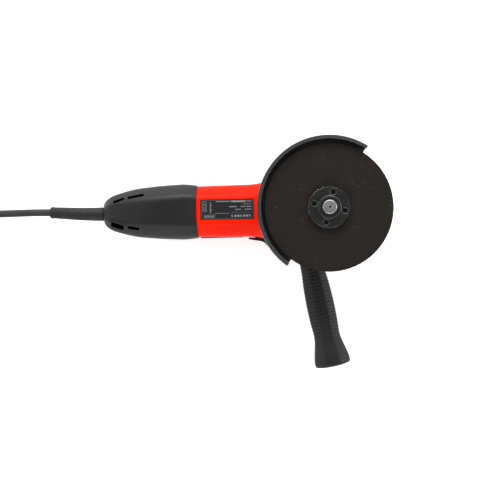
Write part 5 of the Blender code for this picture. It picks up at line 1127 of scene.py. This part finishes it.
def build_plug():
    x, sleeve_y = plug_places()
    body_y = sleeve_y - 22.0
    half_w, half_h, length = 17.5, 13.0, 38.0
    steps = ((0.0, 8.0, 7.5), (0.8, 9.0, 8.2), (5.0, 14.0, 11.0), (9.0, 16.4, 12.4),
             (12.0, half_w, half_h), (20.0, half_w, half_h), (30.0, half_w, half_h),
             (36.4, half_w, half_h), (37.5, half_w - 0.4, half_h - 0.4),
             (length, half_w - 1.3, half_h - 1.3))
    loops = []
    for k in range(6 * (len(steps) - 1) + 1):
        dy, w, h = spread(steps, k / 6.0)
        w, h = min(w, half_w), min(h, half_h)
        waist = 0.7 * exp(-((dy - 21.0) / 4.0) ** 2)
        ring = []
        for i in range(72):
            angle = tau * i / 72
            c, s = cos(angle), sin(angle)
            ring.append((x + (w - waist) * copysign(abs(c) ** 0.7, c), body_y - dy,
                         PLUG_Z + (h - waist) * copysign(abs(s) ** 0.7, s)))
        loops.append(ring)
    plug = loft("plug_body", loops)
    profile = [(0.0, 0.0), (4.7, 0.0), (PLUG_SLEEVE_R, 0.4)]
    for k in range(7):
        z = 1.6 + 2.7 * k
        profile += [(PLUG_SLEEVE_R, z), (4.4, z + 0.3), (4.4, z + 1.1), (5.25, z + 1.4)]
    profile += [(5.6, 24.0), (0.0, 24.0)]
    sleeve = along(turned("sleeve", profile, 48), (x, sleeve_y, PLUG_Z), (0, -1, 0))
    join(plug, sleeve)
    show(plug, "cord_rubber", "mains_plug")
    pin = [(0.0, 19.0), (1.3, 18.9), (2.0, 18.4), (2.35, 17.6), (2.4, 16.8), (2.4, -2.0), (0.0, -2.0)]
    collar = [(0.0, 10.0), (2.4, 10.0), (2.42, 9.8), (2.42, -1.0), (0.0, -1.0)]
    pins = []
    collars = []
    for side in (-1, 1):
        root = (x + side * 9.5, body_y - length, PLUG_Z)
        pins.append(along(turned("pin", pin, 40), root, (0, -1, 0)))
        collars.append(along(turned("collar", collar, 40), root, (0, -1, 0)))
    pins = show(merge("plug_pins", pins), "bright_steel")
    collars = show(merge("plug_pin_sleeves", collars), "cord_rubber")
    return [plug, pins, collars]


# --- the whole tool, floor and light ---
def build_scene():
    cord, path, length = build_cord()
    plug = build_plug()
    tie = build_tie()
    build_sleeve()
    build_housing()
    build_label()
    build_rear_covers()
    build_gear_case()
    build_bearing_cover()
    build_lock_button()
    build_spindle()
    build_disc()
    build_guard()
    build_slide_button()
    build_handle()


def build_stage():
    floor = Nodes("floor")
    tone = floor.noise(3.0, 3.0, 0.5)
    shade = floor.mix(tone, (0.78, 0.78, 0.78), (0.82, 0.82, 0.82))
    floor.finish(shade, 0.8, Emission_Color=(1.0, 1.0, 1.0, 1.0), Emission_Strength=0.55)
    bm = bmesh.new()
    bmesh.ops.create_grid(bm, x_segments=8, y_segments=8, size=4.0)
    plane = to_object("floor", bm)
    plane.location.z = -0.0002
    plane.data.materials.append(floor.material)
    world = bpy.data.worlds.new("studio")
    bpy.context.scene.world = world
    world.use_nodes = True
    background = world.node_tree.nodes["Background"]
    background.inputs["Color"].default_value = (1.0, 1.0, 1.0, 1.0)
    background.inputs["Strength"].default_value = 0.30
    for name, spot, size, power in (
            ("key", (-0.1, 1.15, 0.75), (1.8, 0.7), 29.0),
            ("fill", (-0.1, -1.25, 0.80), (1.8, 0.7), 13.0),
            ("left", (-1.4, 0.0, 0.75), (0.7, 1.4), 5.0),
            ("right", (1.3, 0.0, 0.75), (0.7, 1.4), 11.0)):
        light = bpy.data.lights.new(name, "AREA")
        light.shape = "RECTANGLE"
        light.size, light.size_y = size
        light.energy = power
        lamp = link(bpy.data.objects.new(name, light))
        lamp.location = spot
        aim = Vector((-0.08, -0.03, 0.03)) - Vector(spot)
        lamp.rotation_euler = aim.to_track_quat("-Z", "Y").to_euler()


build_scene()
build_stage()
